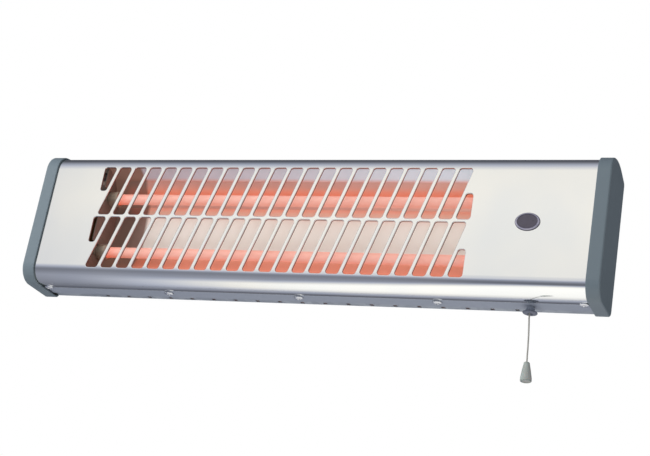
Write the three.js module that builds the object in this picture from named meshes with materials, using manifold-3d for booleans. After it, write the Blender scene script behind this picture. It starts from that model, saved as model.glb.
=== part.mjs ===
// Wall heater with two quartz tubes behind a slotted steel cover and a pull-cord switch.
//
// Millimetres. +X is to the right as seen from the front, -Y faces the room, +Z is up.
// The origin is the centre of the back plate's rear face, which lies flat on the wall.

import * as THREE from 'three';
import { mergeVertices } from 'three/addons/utils/BufferGeometryUtils.js';
import Module from 'manifold-3d';

const wasm = await Module();
wasm.setup();

// ------------------------------------------------------------------ driving dimensions

// Whole heater.
const length = 600;              // over both end caps
const depth = 62;                // from the wall to the front of the end caps
const wallGap = 1;               // the end caps stop this far short of the wall
const clearance = 0.3;           // between pieces that touch
const cutPast = 1;               // cutting tools run at least this far past what they cut
const holeSides = 8;             // sides of small round holes

// Side outline of the end caps: five rounded corners.
const frontBottomZ = -72;
const frontBottomRadius = 18.1;
const rearBottomZ = -70;
const rearBottomRadius = 7;
const rearTopZ = 67.5;
const rearTopRadius = 4.6;
const archFromWall = 33;         // the arched top peaks this far from the wall
const archZ = 76.3;
const archRadius = 54.9;
const frontTopZ = 68.5;
const frontTopRadius = 19.6;

// End caps.
const capBand = 13.6;            // width of the rim that shows beside the cover
const capEndWall = 2.5;
const capEdgeFillet = 1.8;       // rounded edge of the cap's flat outer side
const capProud = 2;              // the rim stands this far proud of the cover
const capBossRadius = 4.5;
const capBossFromWall = 20;
const capBossZ = 42;             // bosses sit this far above and below the middle

// Front cover, a folded steel sheet.
const coverSheet = 0.8;
const coverTopEdge = 6;          // the top ends this far from the wall
const joggleFromWall = 38.8;       // where the underside steps in to form the lip
const joggleRun = 1.5;
const joggleStep = 0.7;
const lipFromWall = 13;          // rear edge of the lip under the heater

// Slots in the cover: two rows of leaning slots between narrow bars.
const slotFromLeft = 69.3;       // from the left end to the slots' border
const slotFromRight = 129.3;
const barRoom = 17.4;            // about this much length for each bar
const barWidth = 3.6;
const barLean = 0.292;           // sideways travel for each unit of height
const slotTopZ = 56;
const slotBottomZ = -56;
const bridgeZ = 1.2;             // middle of the strip between the two rows
const bridgeHeight = 2.8;
const slotCornerRadius = 3;

// Oval badge, left bare.
const badgeFromEnd = 73.7;
const badgeZ = 0.7;
const badgeWidth = 24;
const badgeHeight = 18;
const badgeThickness = 1.7;

// Back plate, a folded steel tray.
const traySheet = 1;
const trayFront = 39;            // the tray's floor reaches this far from the wall
const trayTopFront = 17;         // and its top this far
const trayBendRadius = 2;
const ventPitch = 24.3;
const ventFromEnd = 81.3;        // from the tray's ends to the outer vents, on average
const ventCentreX = -6.5;
const ventWidth = 4;
const ventFront = 7.8;           // the vents are slots through the start of the tray's rear
const ventRear = 3.2;            // bottom bend, from here to there, off the wall
const keyholeFromEnd = 150;
const keyholeZ = 38;
const keyholeRadius = 4.5;       // lets a screw head through
const keyholeSlot = 4.6;         // width of the narrow part, for the shank
const keyholeRise = 9;

// Screws.
const coverScrewSpread = 1.5;    // the middle screws stand this much wider than halfway
const coverScrewCentreX = -3;    // the middle screw sits a little to the left
const coverScrewFromWall = 25;
const endScrewFromWall = 32.4;
const endScrewInset = 5.4;       // from a cap's rim to the axis of the end screw
const coverScrewHead = { radius: 4.6, height: 1.9 };
const coverScrewShank = { radius: 1.8, length: 8 };
const smallScrewHead = { radius: 3.4, height: 1.8 };
const smallScrewShank = { radius: 1.5, length: 8 };
const wallSink = 0.1;            // screw tips stop this far inside the rear face

// Heating tubes.
const tubeFromWall = 36;
const tubeZ = 30;                // above and below the middle
const tubeRadius = 5.5;
const tubeWall = 1;
const coilWire = 1;
const bracketFromLeft = 70.2;    // from the left end to the plate that holds the tube ends
const bracketFromRight = 112.2;

// Ceramic tube ends, measured along the tube from the middle of the bracket plate.
const ceramicRadius = 8;
const ceramicMouth = 10.8;
const ceramicTail = 8.2;
const ceramicFloor = 3.2;        // the socket for the tube stops here
const ceramicGroove = 2;         // depth of the groove that the bracket sits in

// Terminal studs on the ceramic ends.
const studRadius = 1.5;
const studInside = 7;
const studOutside = 16;
const studNutRadius = 3.6;
const studNutHeight = 3;

// Brackets and shields.
const bracketSheet = 1;
const bracketFoot = 12;
const bracketHalfHeight = 58;
const bracketDepth = 52.5;
const footScrewZ = 15;
const shieldFromBracket = 20.2;
const shieldSheet = 0.8;
const shieldFoot = 9;

// Reflector: a folded trough behind the tubes, given by three folds of its half outline.
const reflectorSheet = 0.6;
const reflectorBack = { fromWall: 16, z: 26 };
const reflectorKnee = { fromWall: 33, z: 50 };
const reflectorLip = { fromWall: depth - 6, z: 59 };

// Link between the left studs.
const strapSheet = 1;
const strapWidth = 8;
const strapHalfHeight = 36;

// Pull switch.
const switchFromEnd = 72;
const switchFromWall = 19;
const switchWidth = 30;
const switchDepth = 20;
const switchHeight = 36;
const switchWall = 2;
const switchLid = 2;
const pullTravel = 10;
const plungerRadius = 2.5;
const plungerLength = 20;
const collarRadius = 5;
const collarHeight = 3;
const collarFromTop = 7.5;
const notchCount = 3;            // notches near the rod's top, for the ratchet
const notchPitch = 1.7;
const notchHeight = 0.8;
const notchDepth = 0.7;
const springRadius = 3.9;
const springWire = 0.5;          // radius of the wire
const springTurns = 6;
const ratchetRadius = 4.2;
const ratchetTeeth = 8;
const ratchetWidth = 6;
const ratchetGap = 0.5;          // between the wheel's teeth and the rod
const ratchetRoot = 0.76;        // radius at the root of the teeth, as a share of the tip's
const ratchetAxleRadius = 1.2;
const ratchetDrop = 3.9;         // from the switch's inner roof to the ratchet's axle
const bladeWidth = 5;
const bladeHeight = 8;
const bladeSheet = 0.8;
const bladePitch = 9;

// Cord guide: the round flange under the heater that the pull cord leaves through.
const guideRadius = 7.1;
const guideRim = 0.7;            // straight height of the flange's edge
const guideFlange = 1.8;         // height of the flange in its middle
const guideHeight = 6.4;
const guideCollarRadius = 4.5;
const guideBore = 1.7;
const guideNeckRadius = 3.7;

// Pull cord and its bell-shaped pull.
const cordRadius = 0.8;
const bellHeight = 18.6;
const bellTopRadius = 2.9;
const bellRadius = 5.35;
const bellSkirt = 3.4;
const bellEdge = 0.8;            // chamfer of its top and bottom edges
const bellBore = 1.1;
const bellGrip = 3.5;            // how far the cord goes into the bell
const bellTilt = 3.5;            // degrees off the vertical, to the right

// Cord route below the guide, from the mouth of the guide to its end inside the bell.
const cordRoute = [
  [227.6, -19, -74.9],
  [227.7, -19, -77.0],
  [227.8, -19, -79.5],
  [228.1, -19, -82.5],
  [228.4, -19, -85.5],
  [228.7, -19, -89.0],
  [229.0, -19, -92.5],
  [229.3, -19, -96.0],
  [229.5, -19, -99.5],
  [229.7, -19, -103.0],
  [229.9, -19, -106.5],
  [230.1, -19, -110.0],
  [230.2, -19, -113.5],
  [230.4, -19, -117.0],
  [230.6, -19, -120.5],
  [230.8, -19, -124.0],
  [230.9, -19, -125.5],
].map(([x, y, z]) => new THREE.Vector3(x, y, z));

// Supply side: terminal block and the bush where the supply cable enters.
const blockFromEnd = 38;
const blockZ = 25;
const blockWidth = 28;
const blockDepth = 14;
const blockHeight = 22;
const blockPoles = 3;
const blockPitch = 9;
const pocketRadius = 2.6;        // clamp pockets in the block's front
const pocketDepth = 4;
const earthDrop = 23;            // from the block's lower edge down to the earth screw
const bushZ = 51;
const bushRadius = 8.5;
const bushNeckRadius = 6;
const bushBore = 4;
const bushRim = 2;
const wireRadius = 1.2;

// ------------------------------------------------------------------ places along the length

const halfLength = length / 2;
const rimX = halfLength - capBand;
const slotLeftX = -halfLength + slotFromLeft;
const slotRightX = halfLength - slotFromRight;
const barCount = Math.round((slotRightX - slotLeftX) / barRoom);
const barPitch = (slotRightX - slotLeftX) / barCount;
const badgeX = halfLength - badgeFromEnd;
const keyholeX = halfLength - keyholeFromEnd;
const bracketLeftX = -halfLength + bracketFromLeft;
const bracketRightX = halfLength - bracketFromRight;
const shieldX = bracketRightX + shieldFromBracket;
const switchX = halfLength - switchFromEnd;
const blockX = halfLength - blockFromEnd;

// ------------------------------------------------------------------ finishes

const finish = {
  steel: { color: 0xd9dcdc, roughness: 0.18, metalness: 1 },
  plastic: { color: 0x6c7780, roughness: 0.5, metalness: 0 },
  zinc: { color: 0x9aa3ab, roughness: 0.4, metalness: 0.9 },
  aluminium: { color: 0xe2ddd6, roughness: 0.25, metalness: 1 },
  quartz: { color: 0xf0a083, roughness: 0.3, metalness: 0 },
  coil: { color: 0xe0603a, roughness: 0.6, metalness: 0.3 },
  ceramic: { color: 0xcdbfae, roughness: 0.7, metalness: 0 },
  brass: { color: 0xb59a55, roughness: 0.35, metalness: 0.9 },
  badge: { color: 0x3a3844, roughness: 0.15, metalness: 0.2 },
  screw: { color: 0xc9ccd0, roughness: 0.3, metalness: 1 },
  phenolic: { color: 0x26262b, roughness: 0.45, metalness: 0 },
  guide: { color: 0x4a5266, roughness: 0.45, metalness: 0 },
  cord: { color: 0xafaca5, roughness: 0.85, metalness: 0 },
  bell: { color: 0xa5aca8, roughness: 0.4, metalness: 0 },
  nylon: { color: 0xe6e4dc, roughness: 0.5, metalness: 0 },
  wire: { color: 0xc8c3b8, roughness: 0.7, metalness: 0 },
};

const heater = new THREE.Group();

// Adds one named piece to the heater, or to a group inside it.
function add(name, geometry, look, parent = heater) {
  const mesh = new THREE.Mesh(geometry, new THREE.MeshStandardMaterial(finish[look]));
  mesh.name = name;
  parent.add(mesh);
  return mesh;
}

// ------------------------------------------------------------------ solid helpers

// Turns a closed geometry into a solid: shared corners merged, faces pointing out.
function solid(geometry) {
  const bare = geometry.clone();
  bare.deleteAttribute('normal');
  bare.deleteAttribute('uv');
  const merged = mergeVertices(bare, 1e-4);
  const position = merged.attributes.position.array;
  const corner = (i) => new THREE.Vector3().fromArray(position, 3 * i);
  const triangles = [];
  let volume = 0;
  for (let i = 0; i < merged.index.count; i += 3) {
    const [a, b, c] = merged.index.array.subarray(i, i + 3);
    if (a === b || b === c || c === a) continue;
    triangles.push(a, b, c);
    volume += corner(a).dot(corner(b).cross(corner(c)));
  }
  if (volume < 0) triangles.reverse();
  const vertProperties = Float32Array.from(position);
  return new wasm.Manifold(
    new wasm.Mesh({ numProp: 3, vertProperties, triVerts: Uint32Array.from(triangles) }),
  );
}

function toGeometry(manifold) {
  const mesh = manifold.getMesh();
  const geometry = new THREE.BufferGeometry();
  geometry.setAttribute('position', new THREE.BufferAttribute(mesh.vertProperties, 3));
  geometry.setIndex(new THREE.BufferAttribute(mesh.triVerts, 1));
  geometry.computeVertexNormals();
  return geometry;
}

const joined = (solids) => solids.reduce((sum, next) => sum.add(next));
const cut = (body, tools) => tools.reduce((rest, tool) => rest.subtract(tool), body);

// Box between two opposite corners.
function box(x0, x1, y0, y1, z0, z1) {
  const geometry = new THREE.BoxGeometry(x1 - x0, y1 - y0, z1 - z0);
  return solid(geometry.translate((x0 + x1) / 2, (y0 + y1) / 2, (z0 + z1) / 2));
}

// A profile of [radius, height] pairs turned about the Z axis.
function turned(profile, sides = 16) {
  const points = profile.map(([r, h]) => new THREE.Vector2(r, h));
  return new THREE.LatheGeometry(points, sides).rotateX(Math.PI / 2);
}

// The same, with the axis laid along +X or +Y.
const turnedAlongX = (profile, sides) => turned(profile, sides).rotateY(Math.PI / 2);
const turnedAlongY = (profile, sides) => turned(profile, sides).rotateX(-Math.PI / 2);

// A closed bar of round section: [radius, from, to] about the Z axis.
const rod = (radius, from, to) => [[0, from], [radius, from], [radius, to], [0, to]];

// A round bar along one axis through a point, as a solid for cutting or joining.
function bar(axis, at, radius, from, to, sides = 16) {
  const make = { x: turnedAlongX, y: turnedAlongY, z: turned }[axis];
  return solid(make(rod(radius, from, to), sides).translate(at[0], at[1], at[2]));
}

// A flat shape of (x, z) points, as thick as the stretch of Y it spans.
function plateAlongY(points, y0, y1) {
  const shape = new THREE.Shape(points);
  const geometry = new THREE.ExtrudeGeometry(shape, { depth: y1 - y0, bevelEnabled: false });
  return solid(geometry.rotateX(Math.PI / 2).translate(0, y1, 0));
}

// A flat shape of (y, z) points, carried along X.
function plateAlongX(points, x0, x1) {
  const shape = new THREE.Shape(points);
  const geometry = new THREE.ExtrudeGeometry(shape, { depth: x1 - x0, bevelEnabled: false });
  const turn = new THREE.Matrix4().makeBasis(
    new THREE.Vector3(0, 1, 0),
    new THREE.Vector3(0, 0, 1),
    new THREE.Vector3(1, 0, 0),
  );
  return solid(geometry.applyMatrix4(turn).translate(x0, 0, 0));
}

// Corners { u, v, r } joined by straight edges, each corner rounded by its radius.
function rounded(corners, degreesPerStep = 13) {
  const points = [];
  corners.forEach((corner, i) => {
    const here = new THREE.Vector2(corner.u, corner.v);
    const before = corners[(i + corners.length - 1) % corners.length];
    const after = corners[(i + 1) % corners.length];
    const toBefore = new THREE.Vector2(before.u, before.v).sub(here);
    const toAfter = new THREE.Vector2(after.u, after.v).sub(here);
    const half = Math.abs(toBefore.angleTo(toAfter)) / 2;
    const room = 0.49 * Math.min(toBefore.length(), toAfter.length());
    const setback = Math.min(corner.r / Math.tan(half), room);
    const radius = setback * Math.tan(half);
    const start = here.clone().addScaledVector(toBefore.normalize(), setback);
    const end = here.clone().addScaledVector(toAfter.normalize(), setback);
    const inward = toBefore.clone().add(toAfter).normalize();
    const centre = here.clone().addScaledVector(inward, radius / Math.sin(half));
    const sweep = Math.PI - 2 * half;
    const steps = Math.max(2, Math.ceil(THREE.MathUtils.radToDeg(sweep) / degreesPerStep));
    const arm = start.clone().sub(centre);
    const sign = Math.sign(arm.cross(end.clone().sub(centre)));
    for (let k = 0; k <= steps; k += 1) {
      const angle = (sign * sweep * k) / steps;
      points.push(arm.clone().rotateAround(new THREE.Vector2(), angle).add(centre));
    }
  });
  return points;
}

// Skin over equal rings of points, closed by a flat face at each end.
function loft(rings) {
  const count = rings[0].length;
  const position = rings.flat().flatMap((p) => [p.x, p.y, p.z]);
  const index = [];
  for (let k = 0; k + 1 < rings.length; k += 1) {
    for (let i = 0; i < count; i += 1) {
      const j = (i + 1) % count;
      const low = k * count;
      const high = low + count;
      index.push(low + i, low + j, high + j, low + i, high + j, high + i);
    }
  }
  const last = (rings.length - 1) * count;
  for (let i = 1; i + 1 < count; i += 1) {
    index.push(0, i + 1, i, last, last + i, last + i + 1);
  }
  const geometry = new THREE.BufferGeometry();
  geometry.setAttribute('position', new THREE.Float32BufferAttribute(position, 3));
  geometry.setIndex(index);
  return solid(geometry);
}

// ------------------------------------------------------------------ side outline

// The cap's outline moved inward by a distance, as corners u = y, v = z.
function outlineCorners(inset) {
  const corners = [
    { u: -depth, v: frontBottomZ, r: frontBottomRadius },
    { u: -wallGap, v: rearBottomZ, r: rearBottomRadius },
    { u: -wallGap, v: rearTopZ, r: rearTopRadius },
    { u: -archFromWall, v: archZ, r: archRadius },
    { u: -depth, v: frontTopZ, r: frontTopRadius },
  ];
  const edges = corners.map((a, i) => {
    const b = corners[(i + 1) % corners.length];
    const along = new THREE.Vector2(b.u - a.u, b.v - a.v).normalize();
    const normal = new THREE.Vector2(-along.y, along.x);
    return { normal, offset: normal.x * a.u + normal.y * a.v + inset };
  });
  return corners.map((corner, i) => {
    const p = edges[(i + edges.length - 1) % edges.length];
    const q = edges[i];
    const det = p.normal.cross(q.normal);
    return {
      u: (p.offset * q.normal.y - q.offset * p.normal.y) / det,
      v: (q.offset * p.normal.x - p.offset * q.normal.x) / det,
      r: Math.max(corner.r - inset, 0.5),
    };
  });
}

const outline = (inset) => rounded(outlineCorners(inset));
const outlineRing = (x, inset) => outline(inset).map((p) => new THREE.Vector3(x, p.x, p.y));

// Height of the underside and of the rear part of the top, moved inward by a distance.
const underSlope = (rearBottomZ - frontBottomZ) / (depth - wallGap);
const underTilt = Math.atan(underSlope);
const underZ = (y, inset) => frontBottomZ + underSlope * (y + depth) + inset / Math.cos(underTilt);
const topSlope = (rearTopZ - archZ) / (archFromWall - wallGap);
const topZ = (y, inset) => rearTopZ + topSlope * (y + wallGap) - inset * Math.hypot(1, topSlope);

const coverHalf = halfLength - capEndWall - clearance;
const coverInner = capProud + coverSheet;
const lipInset = capProud + joggleStep;
const trayUnderInset = lipInset + coverSheet + clearance;
const trayTopInset = coverInner + clearance;
const trayHalf = rimX - clearance;
const guideAxis = [switchX, -switchFromWall];

// ------------------------------------------------------------------ screws

// A pan-head screw on the Z axis: head below z = 0, shank above it.
function screwProfile(head, shank) {
  return [
    [0, -head.height],
    [0.62 * head.radius, -head.height],
    [0.93 * head.radius, -0.62 * head.height],
    [head.radius, -0.2 * head.height],
    [head.radius, 0],
    [shank.radius, 0],
    [shank.radius, shank.length - 1],
    [0.5, shank.length],
    [0, shank.length],
  ];
}

const screwSides = 9;
const endScrewX = rimX - endScrewInset;
const coverScrewPitch = endScrewX / 2 + coverScrewSpread;
const coverScrewPlaces = [
  [-endScrewX, -endScrewFromWall],
  [coverScrewCentreX - coverScrewPitch, -coverScrewFromWall],
  [coverScrewCentreX, -coverScrewFromWall],
  [coverScrewCentreX + coverScrewPitch, -coverScrewFromWall],
  [endScrewX, -endScrewFromWall],
];

// The five screws that hold the cover's lip to the tray, square to the sloping lip.
function addCoverScrews() {
  coverScrewPlaces.forEach(([x, y], i) => {
    const profile = screwProfile(coverScrewHead, coverScrewShank);
    const screw = add(`cover_screw_${i + 1}`, toGeometry(solid(turned(profile, screwSides))), 'screw');
    screw.position.set(x, y, underZ(y, lipInset) - clearance);
    screw.rotation.x = underTilt;
  });
}

// Holes for those screws, through the lip and the tray.
function coverScrewHoles() {
  const reach = coverScrewShank.length;
  return coverScrewPlaces.map(([x, y]) => {
    const at = [x, y, underZ(y, lipInset)];
    return bar('z', at, coverScrewShank.radius + clearance, -reach, reach, holeSides);
  });
}

// ------------------------------------------------------------------ front cover

const barX = (k) => slotLeftX + (k + 0.5) * barPitch;

// The slots of one row between two heights. The first and last are cut short by the border.
function slotRow(low, high) {
  const middle = (low + high) / 2;
  const side = (k, z, gap) => barX(k) + barLean * (z - middle) + gap;
  const half = barWidth / 2;
  const [left, right] = [slotLeftX, slotRightX];
  const last = barCount - 1;
  const corner = (u, v) => ({ u, v, r: slotCornerRadius });
  const slots = [
    [
      corner(left, middle),
      corner(side(0, middle, -half), middle),
      corner(side(0, high, -half), high),
      corner(left, high),
    ],
    [
      corner(side(last, low, half), low),
      corner(right, low),
      corner(right, middle),
      corner(side(last, middle, half), middle),
    ],
  ];
  for (let k = 0; k < last; k += 1) {
    slots.push([
      corner(side(k, low, half), low),
      corner(side(k + 1, low, -half), low),
      corner(side(k + 1, high, -half), high),
      corner(side(k, high, half), high),
    ]);
  }
  return slots;
}

function frontCover() {
  const bent = plateAlongX(outline(capProud), -coverHalf, coverHalf)
    .subtract(plateAlongX(outline(coverInner), -length, length))
    .subtract(box(-length, length, -coverTopEdge, depth, 0, length))
    .subtract(box(-length, length, -joggleFromWall, depth, -length, 0));
  const y0 = -joggleFromWall;
  const y1 = y0 + joggleRun;
  const y2 = -lipFromWall;
  const overlap = 0.05;
  const lip = plateAlongX([
    new THREE.Vector2(y0 - overlap, underZ(y0, capProud)),
    new THREE.Vector2(y0, underZ(y0, capProud)),
    new THREE.Vector2(y1, underZ(y1, lipInset)),
    new THREE.Vector2(y2, underZ(y2, lipInset)),
    new THREE.Vector2(y2, underZ(y2, lipInset + coverSheet)),
    new THREE.Vector2(y1, underZ(y1, lipInset + coverSheet)),
    new THREE.Vector2(y0, underZ(y0, coverInner)),
    new THREE.Vector2(y0 - overlap, underZ(y0, coverInner)),
  ], -coverHalf, coverHalf);
  const rows = [
    ...slotRow(slotBottomZ, bridgeZ - bridgeHeight / 2),
    ...slotRow(bridgeZ + bridgeHeight / 2, slotTopZ),
  ];
  const front = -depth + capProud;
  const past = front + coverSheet + cutPast;
  const slots = rows.map((corners) => plateAlongY(rounded(corners, 40), front - cutPast, past));
  const neckHole = bar('z', [...guideAxis, 0], guideNeckRadius + clearance, -length, 0);
  return cut(bent.add(lip), [...slots, ...coverScrewHoles(), neckHole]);
}

// ------------------------------------------------------------------ end caps

const capScrewZ = [-capBossZ, capBossZ];

// One end cap as it sits on the right-hand end: a hollow moulding with two screw bosses.
function endCap() {
  const fillet = capEdgeFillet;
  const shell = loft([
    outlineRing(rimX, 0),
    outlineRing(halfLength - fillet, 0),
    outlineRing(halfLength - 0.4 * fillet, 0.2 * fillet),
    outlineRing(halfLength, fillet),
  ]);
  const innerX = halfLength - capEndWall;
  const hollow = loft([
    outlineRing(rimX - cutPast, capProud - clearance),
    outlineRing(innerX, capProud - clearance),
  ]);
  const bosses = capScrewZ.map((z) => {
    const at = [0, -capBossFromWall, z];
    return bar('x', at, capBossRadius, trayHalf + clearance, halfLength - capEndWall / 2, 12);
  });
  const pilots = capScrewZ.map((z) => {
    const at = [0, -capBossFromWall, z];
    return bar('x', at, smallScrewShank.radius + clearance, rimX - cutPast, innerX, holeSides);
  });
  return cut(joined([shell.subtract(hollow), ...bosses]), pilots);
}

function addEndCaps() {
  const right = endCap();
  add('end_cap_right', toGeometry(right), 'plastic');
  add('end_cap_left', toGeometry(right.mirror([1, 0, 0])), 'plastic');
}

// The screws that hold each cap, driven from inside the tray's end walls.
function addCapScrews() {
  const seat = trayHalf - traySheet - clearance;
  [['left', -1], ['right', 1]].forEach(([side, sign]) => {
    capScrewZ.forEach((z) => {
      const profile = screwProfile(smallScrewHead, smallScrewShank);
      const place = z < 0 ? 'lower' : 'upper';
      const name = `cap_screw_${side}_${place}`;
      const screw = add(name, toGeometry(solid(turned(profile, screwSides))), 'screw');
      screw.position.set(sign * seat, -capBossFromWall, z);
      screw.rotation.y = (sign * Math.PI) / 2;
    });
  });
}

// ------------------------------------------------------------------ back plate

// A round hole through the rear panel.
const panelHole = (x, z, radius, sides) => (
  bar('y', [x, 0, z], radius, -traySheet - cutPast, cutPast, sides)
);
const screwHole = smallScrewShank.radius + clearance;

// A keyhole in the rear panel: a round hole with a narrow slot above it.
function keyhole(x) {
  const half = keyholeSlot / 2;
  const top = keyholeZ + keyholeRise;
  const slot = box(x - half, x + half, -traySheet - cutPast, cutPast, keyholeZ, top);
  return joined([panelHole(x, keyholeZ, keyholeRadius, 16), slot, panelHole(x, top, half, 12)]);
}

const footScrewPlaces = () => [
  ['left', bracketLeftX - bracketSheet / 2 - bracketFoot / 2],
  ['right', bracketRightX + bracketSheet / 2 + bracketFoot / 2],
];
const shieldScrewX = shieldX + shieldSheet / 2 + shieldFoot / 2;

function backPlate() {
  const side = (inset, past, rear) => {
    const [floor, top] = [-trayFront - past, -trayTopFront - past];
    return rounded([
      { u: floor, v: underZ(floor, trayUnderInset + inset), r: 0.2 },
      { u: -rear, v: underZ(-rear, trayUnderInset + inset), r: trayBendRadius - inset },
      { u: -rear, v: topZ(-rear, trayTopInset + inset), r: trayBendRadius - inset },
      { u: top, v: topZ(top, trayTopInset + inset), r: 0.2 },
    ], 30);
  };
  const tray = plateAlongX(side(0, 0, 0), -trayHalf, trayHalf);
  const innerHalf = trayHalf - traySheet;
  const hollow = plateAlongX(side(traySheet, 5 * cutPast, traySheet), -innerHalf, innerHalf);
  const ventCount = 1 + Math.round((length - 2 * ventFromEnd) / ventPitch);
  const vents = Array.from({ length: ventCount }, (_, i) => {
    const x = ventCentreX + (i - (ventCount - 1) / 2) * ventPitch;
    const z = underZ(0, trayUnderInset);
    const half = ventWidth / 2;
    return box(x - half, x + half, -ventFront, -ventRear, z - cutPast, z + ventFront);
  });
  const capHoles = capScrewZ.map((z) => (
    bar('x', [0, -capBossFromWall, z], screwHole, -length, length, holeSides)
  ));
  const footHoles = footScrewPlaces().flatMap(([, x]) => (
    [-footScrewZ, footScrewZ].map((z) => panelHole(x, z, screwHole, holeSides))
  ));
  const bushHole = panelHole(blockX, bushZ, bushNeckRadius + clearance, 16);
  const earthHole = panelHole(earthPlace()[0], earthPlace()[2], screwHole, holeSides);
  const shieldHole = panelHole(shieldScrewX, 0, screwHole, holeSides);
  const neckHole = bar('z', [...guideAxis, 0], guideNeckRadius + clearance, -length, 0);
  return cut(tray.subtract(hollow), [
    ...vents, ...capHoles, ...footHoles, keyhole(-keyholeX), keyhole(keyholeX),
    bushHole, earthHole, shieldHole, neckHole, ...coverScrewHoles(),
  ]);
}

// A small screw driven from the front into the rear panel, ending flush inside it.
function addPanelScrew(name, x, z, seatY) {
  const shank = { radius: smallScrewShank.radius, length: -seatY - wallSink };
  const profile = screwProfile(smallScrewHead, shank);
  const screw = add(name, toGeometry(solid(turnedAlongY(profile, screwSides))), 'screw');
  screw.position.set(x, seatY, z);
}

// ------------------------------------------------------------------ reflector

// Sheet of one thickness along a folded path of (y, z) points, thickened to its left.
function foldedSheet(path, thickness, x0, x1) {
  const normals = path.slice(1).map((p, i) => {
    const along = p.clone().sub(path[i]).normalize();
    return new THREE.Vector2(-along.y, along.x);
  });
  const other = path.map((p, i) => {
    const a = normals[Math.max(i - 1, 0)];
    const b = normals[Math.min(i, normals.length - 1)];
    const mitre = a.clone().add(b);
    return p.clone().addScaledVector(mitre, (2 * thickness) / mitre.lengthSq());
  });
  return plateAlongX([...path, ...other.reverse()], x0, x1);
}

const reflectorLeft = bracketLeftX + bracketSheet / 2 + clearance;
const reflectorRight = bracketRightX - bracketSheet / 2 - clearance;

function reflector() {
  const half = [reflectorLip, reflectorKnee, reflectorBack];
  const upper = half.map((p) => new THREE.Vector2(-p.fromWall, p.z));
  const lower = half.map((p) => new THREE.Vector2(-p.fromWall, -p.z)).reverse();
  return foldedSheet([...upper, ...lower], reflectorSheet, reflectorLeft, reflectorRight);
}

// ------------------------------------------------------------------ tubes and their ends

const tubeLow = bracketLeftX + ceramicFloor + clearance;
const tubeHigh = bracketRightX - ceramicFloor - clearance;
const tubeInner = tubeRadius - tubeWall;
const coilOuter = tubeInner - clearance;
const coilInner = coilOuter - coilWire;

// A tube of given radii between two places along X.
function pipe(inner, outer, x0, x1, sides) {
  const ring = [[inner, x0], [outer, x0], [outer, x1], [inner, x1], [inner, x0]];
  return solid(turnedAlongX(ring, sides));
}

// A ceramic end on the Z axis: socket for the tube below, hole for the stud above.
function ceramicProfile() {
  const slot = bracketSheet / 2 + clearance;
  const socket = tubeRadius + clearance;
  const hole = studRadius + clearance;
  const neck = ceramicRadius - ceramicGroove;
  return [
    [socket, -ceramicMouth],
    [ceramicRadius, -ceramicMouth],
    [ceramicRadius, -slot],
    [neck, -slot],
    [neck, slot],
    [ceramicRadius, slot],
    [ceramicRadius, ceramicTail - 1],
    [ceramicRadius - 1, ceramicTail],
    [hole, ceramicTail],
    [hole, -ceramicFloor],
    [socket, -ceramicFloor],
    [socket, -ceramicMouth],
  ];
}

// A terminal stud on the Z axis, with its hexagonal nut against the ceramic.
function stud() {
  const seat = ceramicTail + clearance;
  const shank = solid(turned(rod(studRadius, -studInside, studOutside), 10));
  const nut = solid(turned(rod(studNutRadius, seat, seat + studNutHeight), 6));
  return shank.add(nut);
}

// One tube with the coil inside it, at a height above or below the middle.
function addTube(level, z) {
  const coilLow = bracketLeftX + studInside + clearance;
  const coilHigh = bracketRightX - studInside - clearance;
  const tube = pipe(tubeInner, tubeRadius, tubeLow, tubeHigh, 20);
  const coil = pipe(coilInner, coilOuter, coilLow, coilHigh, 12);
  add(`quartz_tube_${level}`, toGeometry(tube), 'quartz').position.set(0, -tubeFromWall, z);
  add(`heating_coil_${level}`, toGeometry(coil), 'coil').position.set(0, -tubeFromWall, z);
}

// The ceramic end and the stud that close one end of a tube; sign tells which way they face.
function addTubeEnd(level, side, x, z, sign) {
  const ceramic = solid(turned(ceramicProfile(), 16));
  const pieces = [
    add(`ceramic_end_${level}_${side}`, toGeometry(ceramic), 'ceramic'),
    add(`terminal_stud_${level}_${side}`, toGeometry(stud()), 'brass'),
  ];
  pieces.forEach((mesh) => {
    mesh.position.set(x, -tubeFromWall, z);
    mesh.rotation.y = (sign * Math.PI) / 2;
  });
}

function addTubes() {
  [['upper', tubeZ], ['lower', -tubeZ]].forEach(([level, z]) => {
    addTube(level, z);
    addTubeEnd(level, 'left', bracketLeftX, z, -1);
    addTubeEnd(level, 'right', bracketRightX, z, 1);
  });
}

// A bracket: a plate across the heater with a slot for each ceramic end, and a foot.
function tubeBracket(x, sign) {
  const half = bracketSheet / 2;
  const rear = -traySheet - clearance;
  const front = rear - bracketDepth;
  const plate = box(x - half, x + half, front, rear, -bracketHalfHeight, bracketHalfHeight);
  const toe = x + sign * (half + bracketFoot);
  const [footLow, footHigh] = [Math.min(x, toe), Math.max(x, toe)];
  const footRear = rear - bracketSheet;
  const foot = box(footLow, footHigh, footRear, rear, -bracketHalfHeight, bracketHalfHeight);
  const neck = ceramicRadius - ceramicGroove + clearance;
  const reach = bracketSheet / 2 + cutPast;
  const slots = [-tubeZ, tubeZ].flatMap((z) => [
    bar('x', [x, -tubeFromWall, z], neck, -reach, reach),
    box(x - reach, x + reach, front - cutPast, -tubeFromWall, z - neck, z + neck),
  ]);
  const screwX = x + sign * (half + bracketFoot / 2);
  const holes = [-footScrewZ, footScrewZ].map((z) => (
    bar('y', [screwX, 0, z], screwHole, rear - bracketSheet - cutPast, 0, holeSides)
  ));
  return cut(plate.add(foot), [...slots, ...holes]);
}

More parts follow.
